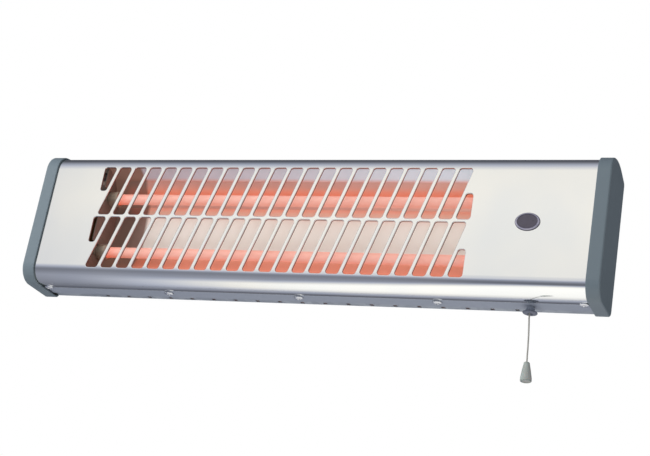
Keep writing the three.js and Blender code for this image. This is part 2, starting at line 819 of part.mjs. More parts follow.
function addBrackets() {
  add('tube_bracket_left', toGeometry(tubeBracket(bracketLeftX, -1)), 'zinc');
  add('tube_bracket_right', toGeometry(tubeBracket(bracketRightX, 1)), 'zinc');
  const seatY = -traySheet - bracketSheet - 2 * clearance;
  footScrewPlaces().forEach(([side, x]) => {
    addPanelScrew(`bracket_screw_${side}_lower`, x, -footScrewZ, seatY);
    addPanelScrew(`bracket_screw_${side}_upper`, x, footScrewZ, seatY);
  });
}

// The brass strap that joins the two studs at the left-hand end.
function linkStrap() {
  const x = bracketLeftX - ceramicTail - studNutHeight - 2 * clearance;
  const half = strapWidth / 2;
  const y = -tubeFromWall;
  const plate = box(x - strapSheet, x, y - half, y + half, -strapHalfHeight, strapHalfHeight);
  const holes = [-tubeZ, tubeZ].map((z) => (
    bar('x', [x, y, z], studRadius + clearance, -strapSheet - cutPast, cutPast, 12)
  ));
  return cut(plate, holes);
}

// The shield between the hot tube ends and the switch: a plate on a foot, with two wire holes.
function heatShield() {
  const half = shieldSheet / 2;
  const rear = -traySheet - clearance;
  const front = rear - bracketDepth;
  const tall = bracketHalfHeight;
  const plate = box(shieldX - half, shieldX + half, front, rear, -tall, tall);
  const toe = shieldX + half + shieldFoot;
  const foot = box(shieldX, toe, rear - shieldSheet, rear, -tall / 4, tall / 4);
  const holes = [-tubeZ, tubeZ].map((z) => (
    bar('x', [shieldX, -tubeFromWall, z], 2 * wireRadius, -cutPast, cutPast, 12)
  ));
  const footRear = rear - shieldSheet - cutPast;
  const footHole = bar('y', [shieldScrewX, 0, 0], screwHole, footRear, 0, holeSides);
  return cut(plate.add(foot), [...holes, footHole]);
}

// ------------------------------------------------------------------ pull switch

const trayFloorZ = underZ(-switchFromWall + switchDepth / 2, trayUnderInset + traySheet);
const switchBottom = trayFloorZ + clearance;
const switchTop = switchBottom + switchHeight;
const switchFront = -switchFromWall - switchDepth / 2;
const switchRear = -switchFromWall + switchDepth / 2;
const wellBottom = switchBottom + switchWall;
const wellTop = switchTop - switchWall;
const plungerHole = plungerRadius + 2 * clearance;
const rodSink = 1;               // at full pull the rod's foot is this deep in the floor's hole
const plungerTop = wellBottom + pullTravel + plungerLength - rodSink;
const plungerBottom = plungerTop - plungerLength;
const collarTop = plungerTop - collarFromTop;
const ratchetX = switchX + plungerRadius + ratchetGap + ratchetRadius;
const ratchetZ = wellTop - clearance - ratchetDrop;

// The switch's housing: a box open at the front, with a hole in its floor for the pull rod.
function switchHousing() {
  const [x0, x1] = [switchX - switchWidth / 2, switchX + switchWidth / 2];
  const w = switchWall;
  const body = box(x0, x1, switchFront, switchRear, switchBottom, switchTop);
  const well = box(x0 + w, x1 - w, switchFront - cutPast, switchRear - w, wellBottom, wellTop);
  const floorLow = switchBottom - cutPast;
  const floorHole = bar('z', [...guideAxis, 0], plungerHole, floorLow, wellBottom + cutPast);
  const axle = [ratchetX, 0, ratchetZ];
  const axleFit = ratchetAxleRadius + 1.2 * clearance;
  const axleHole = bar('y', axle, axleFit, switchRear - w - cutPast, switchRear - w / 3);
  return cut(body, [well, floorHole, axleHole]);
}

function switchLidPlate() {
  const rear = switchFront - clearance;
  const [x0, x1] = [switchX - switchWidth / 2, switchX + switchWidth / 2];
  return box(x0, x1, rear - switchLid, rear, switchBottom, switchTop);
}

// The pull rod: a bar with a collar that the spring pushes up, notched like a rack.
function plunger() {
  const shaft = solid(turned(rod(plungerRadius, plungerBottom, plungerTop), 14));
  const collar = solid(turned(rod(collarRadius, collarTop - collarHeight, collarTop), 18));
  const notches = Array.from({ length: notchCount }, (_, k) => {
    const z = plungerTop - (k + 1) * notchPitch;
    const [deep, wide] = [plungerRadius - notchDepth, plungerRadius + cutPast];
    return box(deep, wide, -wide, wide, z, z + notchHeight);
  });
  return cut(shaft.add(collar), notches).translate([...guideAxis, 0]);
}

// The ratchet wheel that each pull turns by a quarter turn, on its axle along Y.
function ratchetWheel() {
  const points = Array.from({ length: ratchetTeeth }, (_, i) => {
    const at = (2 * Math.PI * i) / ratchetTeeth;
    const next = at + (2 * Math.PI) / ratchetTeeth;
    const root = ratchetRoot * ratchetRadius;
    return [
      new THREE.Vector2(ratchetRadius * Math.cos(at), ratchetRadius * Math.sin(at)),
      new THREE.Vector2(root * Math.cos(next), root * Math.sin(next)),
    ];
  }).flat();
  const middle = -switchFromWall;
  const wheel = plateAlongY(points, middle - ratchetWidth / 2, middle + ratchetWidth / 2);
  const front = switchFront + clearance;
  const rear = switchRear - switchWall / 2;
  const axle = bar('y', [0, 0, 0], ratchetAxleRadius, front, rear, 12);
  return wheel.add(axle).translate([ratchetX, 0, ratchetZ]);
}

// The return spring: one unbroken helix between the collar and the switch's floor.
function returnSpring() {
  const low = wellBottom + clearance + springWire;
  const high = collarTop - collarHeight - clearance - springWire;
  const points = [];
  const steps = 8 * springTurns;
  for (let i = 0; i <= steps; i += 1) {
    const angle = (2 * Math.PI * i) / 8;
    const z = low + ((high - low) * i) / steps;
    points.push(new THREE.Vector3(springRadius * Math.cos(angle), springRadius * Math.sin(angle), z));
  }
  const tube = tubeAlong(points, springWire, 5, steps);
  return solid(tube.translate(guideAxis[0], guideAxis[1], 0));
}

// A round tube along a smooth curve through points.
function tubeAlong(points, radius, sides, steps) {
  const section = Array.from({ length: sides }, (_, i) => {
    const angle = (2 * Math.PI * i) / sides;
    return new THREE.Vector2(radius * Math.cos(angle), radius * Math.sin(angle));
  });
  const extrudePath = new THREE.CatmullRomCurve3(points);
  return new THREE.ExtrudeGeometry(new THREE.Shape(section), { steps, extrudePath });
}

const bladePlaces = [-1, 0, 1].map((k) => switchX + k * bladePitch);

function addSwitch() {
  add('switch_housing', toGeometry(switchHousing()), 'phenolic');
  add('switch_lid', toGeometry(switchLidPlate()), 'phenolic');
  add('switch_plunger', toGeometry(plunger()), 'nylon');
  add('ratchet_wheel', toGeometry(ratchetWheel()), 'nylon');
  add('return_spring', toGeometry(returnSpring()), 'screw');
  bladePlaces.forEach((x, i) => {
    const low = switchTop + clearance;
    const [w, s] = [bladeWidth / 2, bladeSheet / 2];
    const y = -switchFromWall;
    const blade = box(x - w, x + w, y - s, y + s, low, low + bladeHeight);
    add(`switch_terminal_${i + 1}`, toGeometry(blade), 'brass');
  });
}

// ------------------------------------------------------------------ cord guide and cord

const guideTop = Math.min(
  underZ(-switchFromWall - guideRadius, lipInset),
  underZ(-switchFromWall, lipInset),
) - clearance;
const guideMouth = guideTop - guideHeight;

function cordGuide() {
  const neckTop = switchBottom - clearance;
  const flangeTop = guideMouth + guideFlange;
  const low = flangeTop - guideRim;
  const drop = low - guideMouth;
  const profile = [
    [guideBore, neckTop],
    [guideNeckRadius, neckTop],
    [guideNeckRadius, guideTop],
    [guideCollarRadius, guideTop],
    [guideCollarRadius, flangeTop],
    [guideRadius, flangeTop],
    [guideRadius, low],
    [0.96 * guideRadius, low - 0.4 * drop],
    [0.82 * guideRadius, low - 0.75 * drop],
    [0.62 * guideRadius, guideMouth],
    [guideBore + 0.8, guideMouth],
    [guideBore, guideMouth + 1.4],
    [guideBore, neckTop],
  ];
  return solid(turned(profile.reverse(), 22).translate(guideAxis[0], guideAxis[1], 0));
}

// The part of the cord inside the switch and the guide, hidden until the cord is pulled.
function cordStub() {
  const top = plungerBottom - clearance;
  const low = cordRoute[0].z + 2 * clearance;
  return bar('z', [cordRoute[0].x, cordRoute[0].y, 0], cordRadius, low, top, 8);
}

function addCord() {
  const cord = tubeAlong(cordRoute, cordRadius, 8, 28);
  add('pull_cord', toGeometry(solid(cord)), 'cord');
  const end = cordRoute[cordRoute.length - 1];
  const floor = -bellGrip - clearance;
  const bell = add('cord_bell', toGeometry(solid(turned([
    [0, floor],
    [bellBore, floor],
    [bellBore, 0],
    [bellTopRadius - bellEdge, 0],
    [bellTopRadius, -bellEdge],
    [bellRadius, bellSkirt - bellHeight],
    [bellRadius, bellEdge - bellHeight],
    [bellRadius - bellEdge, -bellHeight],
    [0, -bellHeight],
  ].reverse(), 20))), 'bell');
  const tilt = THREE.MathUtils.degToRad(bellTilt);
  bell.rotation.y = -tilt;
  bell.position.set(end.x - bellGrip * Math.sin(tilt), end.y, end.z + bellGrip * Math.cos(tilt));
}

// ------------------------------------------------------------------ badge

// Points of an oval of given half sizes, as a ring at one depth.
function ovalRing(a, b, y, count = 32) {
  return Array.from({ length: count }, (_, i) => {
    const angle = (-2 * Math.PI * i) / count;
    return new THREE.Vector3(badgeX + a * Math.cos(angle), y, badgeZ + b * Math.sin(angle));
  });
}

function badge() {
  const seat = -depth + capProud - clearance;
  const [a, b, t] = [badgeWidth / 2, badgeHeight / 2, badgeThickness];
  return loft([
    ovalRing(a, b, seat),
    ovalRing(a, b, seat - 0.4 * t),
    ovalRing(a - 0.9, b - 0.9, seat - 0.8 * t),
    ovalRing(a - 3.5, b - 3.5, seat - t),
  ]);
}

// ------------------------------------------------------------------ supply side

const panelFront = -traySheet - clearance;

// Earth screw, below the terminal block.
function earthPlace() {
  return [blockX + blockPitch, 0, blockZ - blockHeight / 2 - earthDrop];
}

// The terminal block: a moulded bar with a clamp pocket for each pole.
function terminalBlock() {
  const [x0, x1] = [blockX - blockWidth / 2, blockX + blockWidth / 2];
  const [z0, z1] = [blockZ - blockHeight / 2, blockZ + blockHeight / 2];
  const blockFront = panelFront - blockDepth;
  const body = box(x0, x1, blockFront, panelFront, z0, z1);
  const pockets = polePlaces().map((x) => (
    bar('y', [x, 0, blockZ], pocketRadius, blockFront - cutPast, blockFront + pocketDepth, 10)
  ));
  return cut(body, pockets);
}

function polePlaces() {
  return Array.from({ length: blockPoles }, (_, i) => blockX + (i - (blockPoles - 1) / 2) * blockPitch);
}

// The bush that lines the supply cable's hole, flush with the rear face.
function inletBush() {
  const seat = -traySheet - clearance;
  return solid(turnedAlongY([
    [bushBore, -wallSink],
    [bushNeckRadius, -wallSink],
    [bushNeckRadius, seat],
    [bushRadius, seat],
    [bushRadius - 0.6, seat - bushRim],
    [bushBore, seat - bushRim],
    [bushBore, -wallSink],
  ], 20).translate(blockX, 0, bushZ));
}

// A wire of round section along a hand-laid route.
function addWire(name, route) {
  const points = route.map(([x, y, z]) => new THREE.Vector3(x, y, z));
  add(name, toGeometry(solid(tubeAlong(points, wireRadius, 6, 2 * route.length))), 'wire');
}

function addWires() {
  const bladeTop = switchTop + clearance + bladeHeight + clearance;
  const blockBottom = blockZ - blockHeight / 2 - clearance;
  const poles = polePlaces();
  const poleY = panelFront - blockDepth / 2;
  const switchY = -switchFromWall;
  const studEnd = bracketRightX + studOutside + clearance;
  const [in1, in2, in3] = bladePlaces;
  addWire('wire_upper_tube', [
    [studEnd, -tubeFromWall, tubeZ],
    [studEnd + 3, -tubeFromWall, tubeZ],
    [shieldX + 2, -tubeFromWall, tubeZ],
    [shieldX + 7, -tubeFromWall + 2, tubeZ - 5],
    [in1, switchY - 6, tubeZ - 18],
    [in1, switchY, bladeTop + 14],
    [in1, switchY, bladeTop],
  ]);
  addWire('wire_lower_tube', [
    [studEnd, -tubeFromWall, -tubeZ],
    [studEnd + 3, -tubeFromWall, -tubeZ],
    [shieldX + 2, -tubeFromWall, -tubeZ],
    [in2 - 9, -tubeFromWall - 1, -tubeZ + 7],
    [in2 - 2, -tubeFromWall + 3, bladeTop + 12],
    [in2, switchY, bladeTop + 14],
    [in2, switchY, bladeTop],
  ]);
  addWire('wire_live', [
    [poles[0], poleY, blockBottom],
    [poles[0], poleY, blockBottom - 8],
    [poles[0] - 4, poleY - 2, blockBottom - 16],
    [in3 + 3, switchY, bladeTop + 12],
    [in3, switchY, bladeTop + 6],
    [in3, switchY, bladeTop],
  ]);
  const strapFace = bracketLeftX - ceramicTail - studNutHeight - strapSheet - 3 * clearance;
  const wireY = -9;
  const behindSwitch = (switchRear - traySheet) / 2;
  const floorZ = underZ(wireY, trayUnderInset + traySheet) + clearance + wireRadius + 0.5;
  addWire('wire_neutral', [
    [strapFace, -tubeFromWall, 0],
    [strapFace - 3, -tubeFromWall, 0],
    [strapFace - 5, -tubeFromWall + 5, -tubeZ / 2],
    [strapFace - 4, wireY - 9, floorZ + 16],
    [strapFace + 2, wireY - 1, floorZ + 3],
    [strapFace + 12, wireY, floorZ],
    [strapFace + 30, wireY, floorZ],
    [(strapFace + shieldX) / 2, wireY, floorZ],
    [shieldX - 30, wireY, floorZ],
    [shieldX - 12, wireY, floorZ],
    [shieldX + 3, behindSwitch, floorZ + 0.4],
    [switchX, behindSwitch, floorZ + 0.4],
    [switchX + switchWidth / 2, behindSwitch, floorZ + 1],
    [poles[1] - 6, behindSwitch, floorZ + 14],
    [poles[1], poleY, blockBottom - 24],
    [poles[1], poleY, blockBottom],
  ]);
  const [earthX, , earthZ] = earthPlace();
  const earthTop = earthZ + smallScrewHead.radius + clearance + wireRadius;
  addWire('wire_earth', [
    [poles[2], poleY, blockBottom],
    [poles[2], poleY, blockBottom - 2],
    [poles[2], poleY + 1, blockBottom - 5],
    [earthX, panelFront - 2, earthTop + 2],
    [earthX, panelFront - 1.6, earthTop],
  ]);
}

// ------------------------------------------------------------------ assembly

add('front_cover', toGeometry(frontCover()), 'steel');
addEndCaps();
addCapScrews();
add('back_plate', toGeometry(backPlate()), 'zinc');
addCoverScrews();
add('badge', toGeometry(badge()), 'badge');
add('reflector', toGeometry(reflector()), 'aluminium');
addTubes();
addBrackets();
add('link_strap', toGeometry(linkStrap()), 'brass');
add('heat_shield', toGeometry(heatShield()), 'zinc');
addPanelScrew('shield_screw', shieldScrewX, 0, -traySheet - shieldSheet - 2 * clearance);
addSwitch();
add('cord_guide', toGeometry(cordGuide()), 'guide');
add('cord_stub', toGeometry(cordStub()), 'cord');
addCord();
add('terminal_block', toGeometry(terminalBlock()), 'nylon');
add('inlet_bush', toGeometry(inletBush()), 'phenolic');
addPanelScrew('earth_screw', earthPlace()[0], earthPlace()[2], -traySheet - clearance);
addWires();

export default heater;
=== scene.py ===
# %% [markdown]
# # A wall heater with two glowing quartz tubes
#
# A heater of this kind hangs high on a wall. A polished metal cover with two rows of leaning
# slots stands in front of a bright reflector, and two quartz tubes glow in between.
# Blue-grey plastic caps close the ends, and a cord hangs from the switch at the right.
# The solids come in already placed, in metres, so each surface below is worked out from
# sizes and lands on the solid that it stands for.

# %% Load the solids and measure them
import math

import bmesh
import bpy
import numpy as np
from mathutils import Matrix, Vector
from mathutils.geometry import delaunay_2d_cdt


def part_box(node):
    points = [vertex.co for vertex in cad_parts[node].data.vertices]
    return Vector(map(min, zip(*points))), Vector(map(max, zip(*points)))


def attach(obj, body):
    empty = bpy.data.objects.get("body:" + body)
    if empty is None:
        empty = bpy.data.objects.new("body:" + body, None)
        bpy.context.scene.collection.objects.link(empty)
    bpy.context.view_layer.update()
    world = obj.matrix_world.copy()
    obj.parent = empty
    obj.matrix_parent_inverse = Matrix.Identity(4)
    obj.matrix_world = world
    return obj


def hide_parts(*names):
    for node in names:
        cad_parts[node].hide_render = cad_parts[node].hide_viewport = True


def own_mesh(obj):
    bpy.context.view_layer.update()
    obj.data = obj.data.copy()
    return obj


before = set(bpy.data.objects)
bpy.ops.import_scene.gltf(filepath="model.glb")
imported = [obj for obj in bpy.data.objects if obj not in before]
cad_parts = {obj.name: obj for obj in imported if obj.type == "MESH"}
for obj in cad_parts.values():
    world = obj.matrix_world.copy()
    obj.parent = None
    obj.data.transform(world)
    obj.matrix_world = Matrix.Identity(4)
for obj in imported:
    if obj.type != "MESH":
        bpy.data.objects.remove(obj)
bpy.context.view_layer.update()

# %% [markdown]
# ## The camera
#
# The photograph looks up at the heater from below and from its right-hand end. A camera
# can be placed by eye. Here its three axes and its place were solved instead, from about
# 200 points on the heater's edges, with the heater taken to be 600 mm long. So the picture
# lines up without shift or tilt tricks, but its scale is only as good as that length.

# %% Place the camera
VIEW_RIGHT = np.array([0.929729, 0.330626, 0.162146])
VIEW_DOWN = np.array([0.015472, 0.404859, -0.914248])
VIEW_FORWARD = np.array([-0.367920, 0.852511, 0.371294])
EYE = np.array([0.596743, -1.380918, -0.584236])

FOCAL_LENGTH = 88.7
SENSOR_WIDTH = 36


def put(name, data):
    """A new object in the scene, made of this data."""
    obj = bpy.data.objects.new(name, data)
    bpy.context.scene.collection.objects.link(obj)
    return obj


camera_data = bpy.data.cameras.new("camera")
camera_data.lens = FOCAL_LENGTH
camera_data.sensor_width = SENSOR_WIDTH
camera = put("camera", camera_data)
axes = np.column_stack([VIEW_RIGHT, -VIEW_DOWN, -VIEW_FORWARD])
camera.matrix_world = Matrix.Translation(Vector(EYE)) @ Matrix(axes.tolist()).to_4x4()
bpy.context.scene.camera = camera
bpy.context.scene.view_settings.view_transform = "Standard"
print("camera", np.round(np.linalg.norm(EYE), 3), "m from the heater's middle")

# %% [markdown]
# ## From arrays to pieces
#
# Every new surface is a grid of points, worked out at once with numpy. The quads between
# the points follow from the grid's shape alone, so one helper makes them for all pieces.
# Another turns points and faces into an object, welds doubled points so that poles and
# seams are closed, and marks edges as sharp where the faces meet at a clear angle.

# %% Grid and object helpers
MM = 0.001
WELD_DISTANCE = 0.008 * MM


def grid_quads(rows, cols, wrap_rows=False, wrap_cols=False):
    """Corner numbers of the quads of a grid: each joins a point, its right neighbour and
    the two above them. A wrapped direction joins its last line to its first."""
    r = np.arange(rows if wrap_rows else rows - 1)[:, None]
    c = np.arange(cols if wrap_cols else cols - 1)[None, :]
    up, along = (r + 1) % rows, (c + 1) % cols
    corners = [r * cols + c, r * cols + along, up * cols + along, up * cols + c]
    return np.stack(np.broadcast_arrays(*corners), axis=-1).reshape(-1, 4)


def weld(mesh):
    """Merges points closer than the weld distance, and turns faces outwards."""
    work = bmesh.new()
    work.from_mesh(mesh)
    bmesh.ops.remove_doubles(work, verts=work.verts, dist=WELD_DISTANCE)
    bmesh.ops.recalc_face_normals(work, faces=work.faces)
    work.to_mesh(mesh)
    work.free()


def make_piece(name, points, faces, sharp=32):
    """An object whose mesh has these points, in metres, and these faces. Edges where the
    faces meet at more than sharp degrees stay sharp."""
    mesh = bpy.data.meshes.new(name)
    faces = [tuple(int(i) for i in face) for face in faces]
    mesh.from_pydata(np.asarray(points).reshape(-1, 3).tolist(), [], faces)
    weld(mesh)
    mesh.polygons.foreach_set("use_smooth", np.ones(len(mesh.polygons), dtype=bool))
    mesh.set_sharp_from_angle(angle=math.radians(sharp))
    return put(name, mesh)


def stand_for(piece, body, slot, *nodes):
    """Ties a piece to its body, and hides the solids that it stands for. slot is not used."""
    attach(piece, body)
    if nodes:
        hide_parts(*nodes)
    print(piece.name, "faces:", len(piece.data.polygons))


def middle_of(node):
    """Middle of a solid's box."""
    low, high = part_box(node)
    return (np.array(low) + np.array(high)) / 2


# %% [markdown]
# ## The pull cord
#
# A limp cord, 1.6 mm thick, hangs from the switch and ends in a bell. The photograph shows
# it less than two pixels wide, so its threads are a guess, and a plain tube would do for
# the far view. Two touches are cheap, and are common on such cords: the round section
# swells into three strands, and the strands turn as they run down. Its whole length shows,
# so the length is that of its route.

# %% Twist the cord along its route
CORD_ROUTE = np.array([
    (0.2276, -0.019, -0.0749), (0.2277, -0.019, -0.0770), (0.2278, -0.019, -0.0795),
    (0.2281, -0.019, -0.0825), (0.2284, -0.019, -0.0855), (0.2287, -0.019, -0.0890),
    (0.2290, -0.019, -0.0925), (0.2293, -0.019, -0.0960), (0.2295, -0.019, -0.0995),
    (0.2297, -0.019, -0.1030), (0.2299, -0.019, -0.1065), (0.2301, -0.019, -0.1100),
    (0.2302, -0.019, -0.1135), (0.2304, -0.019, -0.1170), (0.2306, -0.019, -0.1205),
    (0.2308, -0.019, -0.1240), (0.2309, -0.019, -0.1255),
])
CORD_DIAMETER = 1.6 * MM
STRANDS = 3
STRAND_DIP = 0.07
TWIST_PITCH = 5.5 * MM
TUBE_SHARP = 80


def arc_lengths(path):
    """Distance along a path to each of its points."""
    steps = np.linalg.norm(np.diff(path, axis=0), axis=1)
    return np.concatenate([[0.0], np.cumsum(steps)])


def resample(path, count):
    """A path through the same points, evenly spaced."""
    along = arc_lengths(path)
    wanted = np.linspace(0, along[-1], count)
    return np.column_stack([np.interp(wanted, along, path[:, k]) for k in range(3)])


def tube_grid(path, radius, sides, side_hint):
    """Rings around a path. radius is a function of the distance run and of the angle. Each
    ring lies square to the path: angle 0 points along side_hint made square to it."""
    tangent = np.gradient(path, axis=0)
    tangent /= np.linalg.norm(tangent, axis=1, keepdims=True)
    u = side_hint - (tangent @ side_hint)[:, None] * tangent
    u /= np.linalg.norm(u, axis=1, keepdims=True)
    v = np.cross(tangent, u)
    angle = np.linspace(0, 2 * np.pi, sides, endpoint=False)[None, :]
    r = radius(arc_lengths(path)[:, None], angle)[..., None]
    around = np.cos(angle)[..., None] * u[:, None] + np.sin(angle)[..., None] * v[:, None]
    return path[:, None] + r * around


def closed_tube(name, path, radius, sides, side_hint=(0, 1, 0)):
    """A tube with both ends filled by a fan of triangles to the path's own end points."""
    grid = tube_grid(path, radius, sides, np.array(side_hint, dtype=float))
    rows = len(path)
    points = np.vstack([grid.reshape(-1, 3), path[:1], path[-1:]])
    quads = grid_quads(rows, sides, wrap_cols=True).tolist()
    ring = np.arange(sides)
    after = (ring + 1) % sides
    first = np.column_stack([after, ring, np.full(sides, rows * sides)])
    last = np.column_stack([ring, after, np.full(sides, rows * sides + 1)])
    last[:, :2] += (rows - 1) * sides
    return make_piece(name, points, quads + first.tolist() + last.tolist(), sharp=TUBE_SHARP)


def strand_radius(run, angle):
    """The cord's radius dips between its strands, which turn once in each twist pitch."""
    turn = STRANDS * (angle - 2 * np.pi * run / TWIST_PITCH)
    return CORD_DIAMETER / 2 * (1 - STRAND_DIP + STRAND_DIP * np.cos(turn))


cord_path = resample(CORD_ROUTE, 170)
cord = closed_tube("cord_twist", cord_path, strand_radius, 24)
stand_for(cord, "cord_hang", "cord", "pull_cord")

# %% [markdown]
# ## The side outline
#
# Seen from the end, the heater is a box with five rounded corners: a big radius at the
# front top and bottom, small ones at the wall, and an arched top. Caps and cover are the
# same outline moved inwards by different amounts, so one function serves them all. It
# moves the straight edges first, finds where they cross, and then rounds the corners.

# %% Corners, insets and arcs
FRONT = 62.0
CORNERS_Y = np.array([-FRONT, -1.0, -1.0, -33.0, -FRONT])
CORNERS_Z = np.array([-72.0, -70.0, 67.5, 76.3, 68.5])
CORNERS_R = np.array([18.1, 7.0, 4.6, 54.9, 19.6])
SMALLEST_RADIUS = 0.5
ARC_STEPS = 18


def inset_corners(corners, inset):
    """Moves each straight edge inwards by inset and returns where neighbours now cross.
    corners is (..., n, 2), listed anticlockwise."""
    along = np.roll(corners, -1, axis=-2) - corners
    along /= np.linalg.norm(along, axis=-1, keepdims=True)
    inward = np.stack([-along[..., 1], along[..., 0]], axis=-1)
    offset = (inward * corners).sum(-1) + inset
    a, b = np.roll(inward, 1, axis=-2), inward
    p, q = np.roll(offset, 1, axis=-1), offset
    det = a[..., 0] * b[..., 1] - a[..., 1] * b[..., 0]
    u = (p * b[..., 1] - q * a[..., 1]) / det
    v = (q * a[..., 0] - p * b[..., 0]) / det
    return np.stack([u, v], axis=-1)


def corner_arcs(corners, radii, steps):
    """Each corner becomes an arc that touches both its edges. The arc's centre lies on the
    line that halves the corner, at radius / sin(half the angle). Returns points and the
    outward direction at each, both (..., n, steps + 1, 2)."""
    back = np.roll(corners, 1, axis=-2) - corners
    ahead = np.roll(corners, -1, axis=-2) - corners
    len_back = np.linalg.norm(back, axis=-1, keepdims=True)
    len_ahead = np.linalg.norm(ahead, axis=-1, keepdims=True)
    back, ahead = back / len_back, ahead / len_ahead
    half = np.arccos(np.clip((back * ahead).sum(-1), -1, 1))[..., None] / 2
    room = 0.49 * np.minimum(len_back, len_ahead)
    setback = np.minimum(radii[..., None] / np.tan(half), room)
    radius = setback * np.tan(half)
    halving = back + ahead
    halving /= np.linalg.norm(halving, axis=-1, keepdims=True)
    centre = corners + halving * radius / np.sin(half)
    start = corners + back * setback - centre
    t = np.linspace(0, 1, steps + 1)
    angle = (np.pi - 2 * half) * t
    cos, sin = np.cos(angle), np.sin(angle)
    turned = np.stack([
        start[..., :1] * cos - start[..., 1:] * sin,
        start[..., :1] * sin + start[..., 1:] * cos,
    ], axis=-1)
    return centre[..., None, :] + turned, turned / radius[..., None]


def heater_outline(inset):
    """Ring of (y, z) in millimetres: the side outline moved inwards by inset."""
    corners = inset_corners(np.column_stack([CORNERS_Y, CORNERS_Z]), inset)
    radii = np.maximum(CORNERS_R - inset, SMALLEST_RADIUS)
    points, outward = corner_arcs(corners, radii, ARC_STEPS)
    return points.reshape(-1, 2), outward.reshape(-1, 2)


outline_points, _ = heater_outline(0)
print("outline spans", np.ptp(outline_points, axis=0).round(1), "mm")

# %% [markdown]
# ## End caps
#
# Each cap is one plastic moulding, like a lid pushed over the end. A stack of outlines is
# enough: each ring has a place along the heater and an inset, and skinning the rings in
# order gives inner wall, rim, band, rounded edge and outer face in one closed surface.

# %% Skin the rings of a cap
LENGTH = 600.0
CAP_BAND = 13.6
CAP_FILLET = 1.8
RIM_ROUND = 0.5
CAP_WALL = 1.7
CAP_END_WALL = 2.5


def quarter(steps):
    """Sine and 1 - cosine over a quarter turn: the way round a rounded edge."""
    t = np.linspace(0, np.pi / 2, steps)
    return np.sin(t), 1 - np.cos(t)


def cap_stations():
    """Rows of (x, inset, shrink) in millimetres. shrink draws a ring towards its middle."""
    end = LENGTH / 2
    rim = end - CAP_BAND
    floor = end - CAP_END_WALL
    rise, run = quarter(4)
    rim_rows = np.column_stack([rim + RIM_ROUND * run, RIM_ROUND * (1 - rise)])
    rise, run = quarter(9)
    edge_rows = np.column_stack([end - CAP_FILLET + CAP_FILLET * rise, CAP_FILLET * run])
    rows = [(floor, CAP_WALL, s) for s in (0.0, 0.5, 0.98)]
    rows += [(floor, CAP_WALL, 1), (floor - 0.4, CAP_WALL, 1), (rim + 0.4, CAP_WALL, 1)]
    rows += [(rim, CAP_WALL - 0.3, 1)]
    rows += [(x, inset, 1) for x, inset in rim_rows]
    rows += [(rim + 1.2, 0, 1), (end - CAP_FILLET - 0.6, 0, 1)]
    rows += [(x, inset, 1) for x, inset in edge_rows]
    rows += [(end, CAP_FILLET, s) for s in (0.985, 0.9, 0.5, 0.0)]
    return np.array(rows)


def cap_grid(side):
    """Rings of points for one cap; side is 1 at the right and -1 at the left."""
    rings = []
    for x, inset, shrink in cap_stations():
        ring, _ = heater_outline(inset)
        centre = np.array([-31.0, 0.0])
        ring = centre + (ring - centre) * shrink
        rings.append(np.column_stack([np.full(len(ring), side * x), ring]))
    return np.array(rings) * MM


end_caps = {}
for side_name, side in (("right", 1), ("left", -1)):
    grid = cap_grid(side)
    quads = grid_quads(grid.shape[0], grid.shape[1], wrap_cols=True)
    cap = make_piece(f"cap_{side_name}", grid, quads, sharp=50)
    stand_for(cap, "base", "cap", f"end_cap_{side_name}")
    end_caps[side_name] = cap

# %% [markdown]
# ## The front cover
#
# The cover is a bright sheet folded round the front. A mirror shows every flaw in a
# surface's direction, so the directions are not left to Blender to average: each point
# carries the exact one from the formula that placed it. The sheet is built as its outer
# skin first, then copied inwards by the sheet's thickness.
#
# A reddish wall shows inside every slot. It is taken to be an edge turned into the heater,
# as a press can leave it. Its reddish brown is painted shade and painted glow of the tubes.

# %% Slots as leaning four-sided shapes
SLOT_LEFT = -230.7
SLOT_RIGHT = 170.7
BAR_COUNT = 23
BAR_WIDTH = 3.6
BAR_LEAN = 0.292
SLOT_TOP = 56.0
BRIDGE_Z = 1.2
BRIDGE = 2.8
SLOT_CORNER = 3.0
bar_pitch = (SLOT_RIGHT - SLOT_LEFT) / BAR_COUNT
bar_x = SLOT_LEFT + (np.arange(BAR_COUNT) + 0.5) * bar_pitch


def slot_row(low, high):
    """Corners of one row's slots, anticlockwise: (slots, 4, 2). A bar's side leans by
    BAR_LEAN for each unit of height. The first and last slots are cut by the border."""
    mid = (low + high) / 2

    def side(x, z, gap):
        """Points at height z on the sides of bars, gap to the right of their middles."""
        return np.column_stack([x + BAR_LEAN * (z - mid) + gap, np.full(len(x), z)])

    half = BAR_WIDTH / 2
    left_bars, right_bars = bar_x[:-1], bar_x[1:]
    full = np.stack([
        side(left_bars, low, half), side(right_bars, low, -half),
        side(right_bars, high, -half), side(left_bars, high, half),
    ], axis=1)
    first, last = bar_x[:1], bar_x[-1:]
    upper_left = np.vstack([
        [SLOT_LEFT, mid], side(first, mid, -half)[0], side(first, high, -half)[0],
        [SLOT_LEFT, high],
    ])
    lower_right = np.vstack([
        side(last, low, half)[0], [SLOT_RIGHT, low], [SLOT_RIGHT, mid],
        side(last, mid, half)[0],
    ])
    return np.concatenate([full, upper_left[None], lower_right[None]])


slots = np.concatenate([
    slot_row(-SLOT_TOP, BRIDGE_Z - BRIDGE / 2), slot_row(BRIDGE_Z + BRIDGE / 2, SLOT_TOP),
])
print("slots:", len(slots), "bar pitch:", round(bar_pitch, 2), "mm")

# %% Depth and direction of the front skin at each height
COVER_INSET = 2.0
COVER_SHEET = 0.8
WEB_TOP = 59.0


def arc_of(corner, steps=24):
    """One rounded corner of the cover's outer skin: points and outward directions."""
    corners = inset_corners(np.column_stack([CORNERS_Y, CORNERS_Z]), COVER_INSET)
    points, outward = corner_arcs(corners, CORNERS_R - COVER_INSET, steps)
    return points[corner], outward[corner]


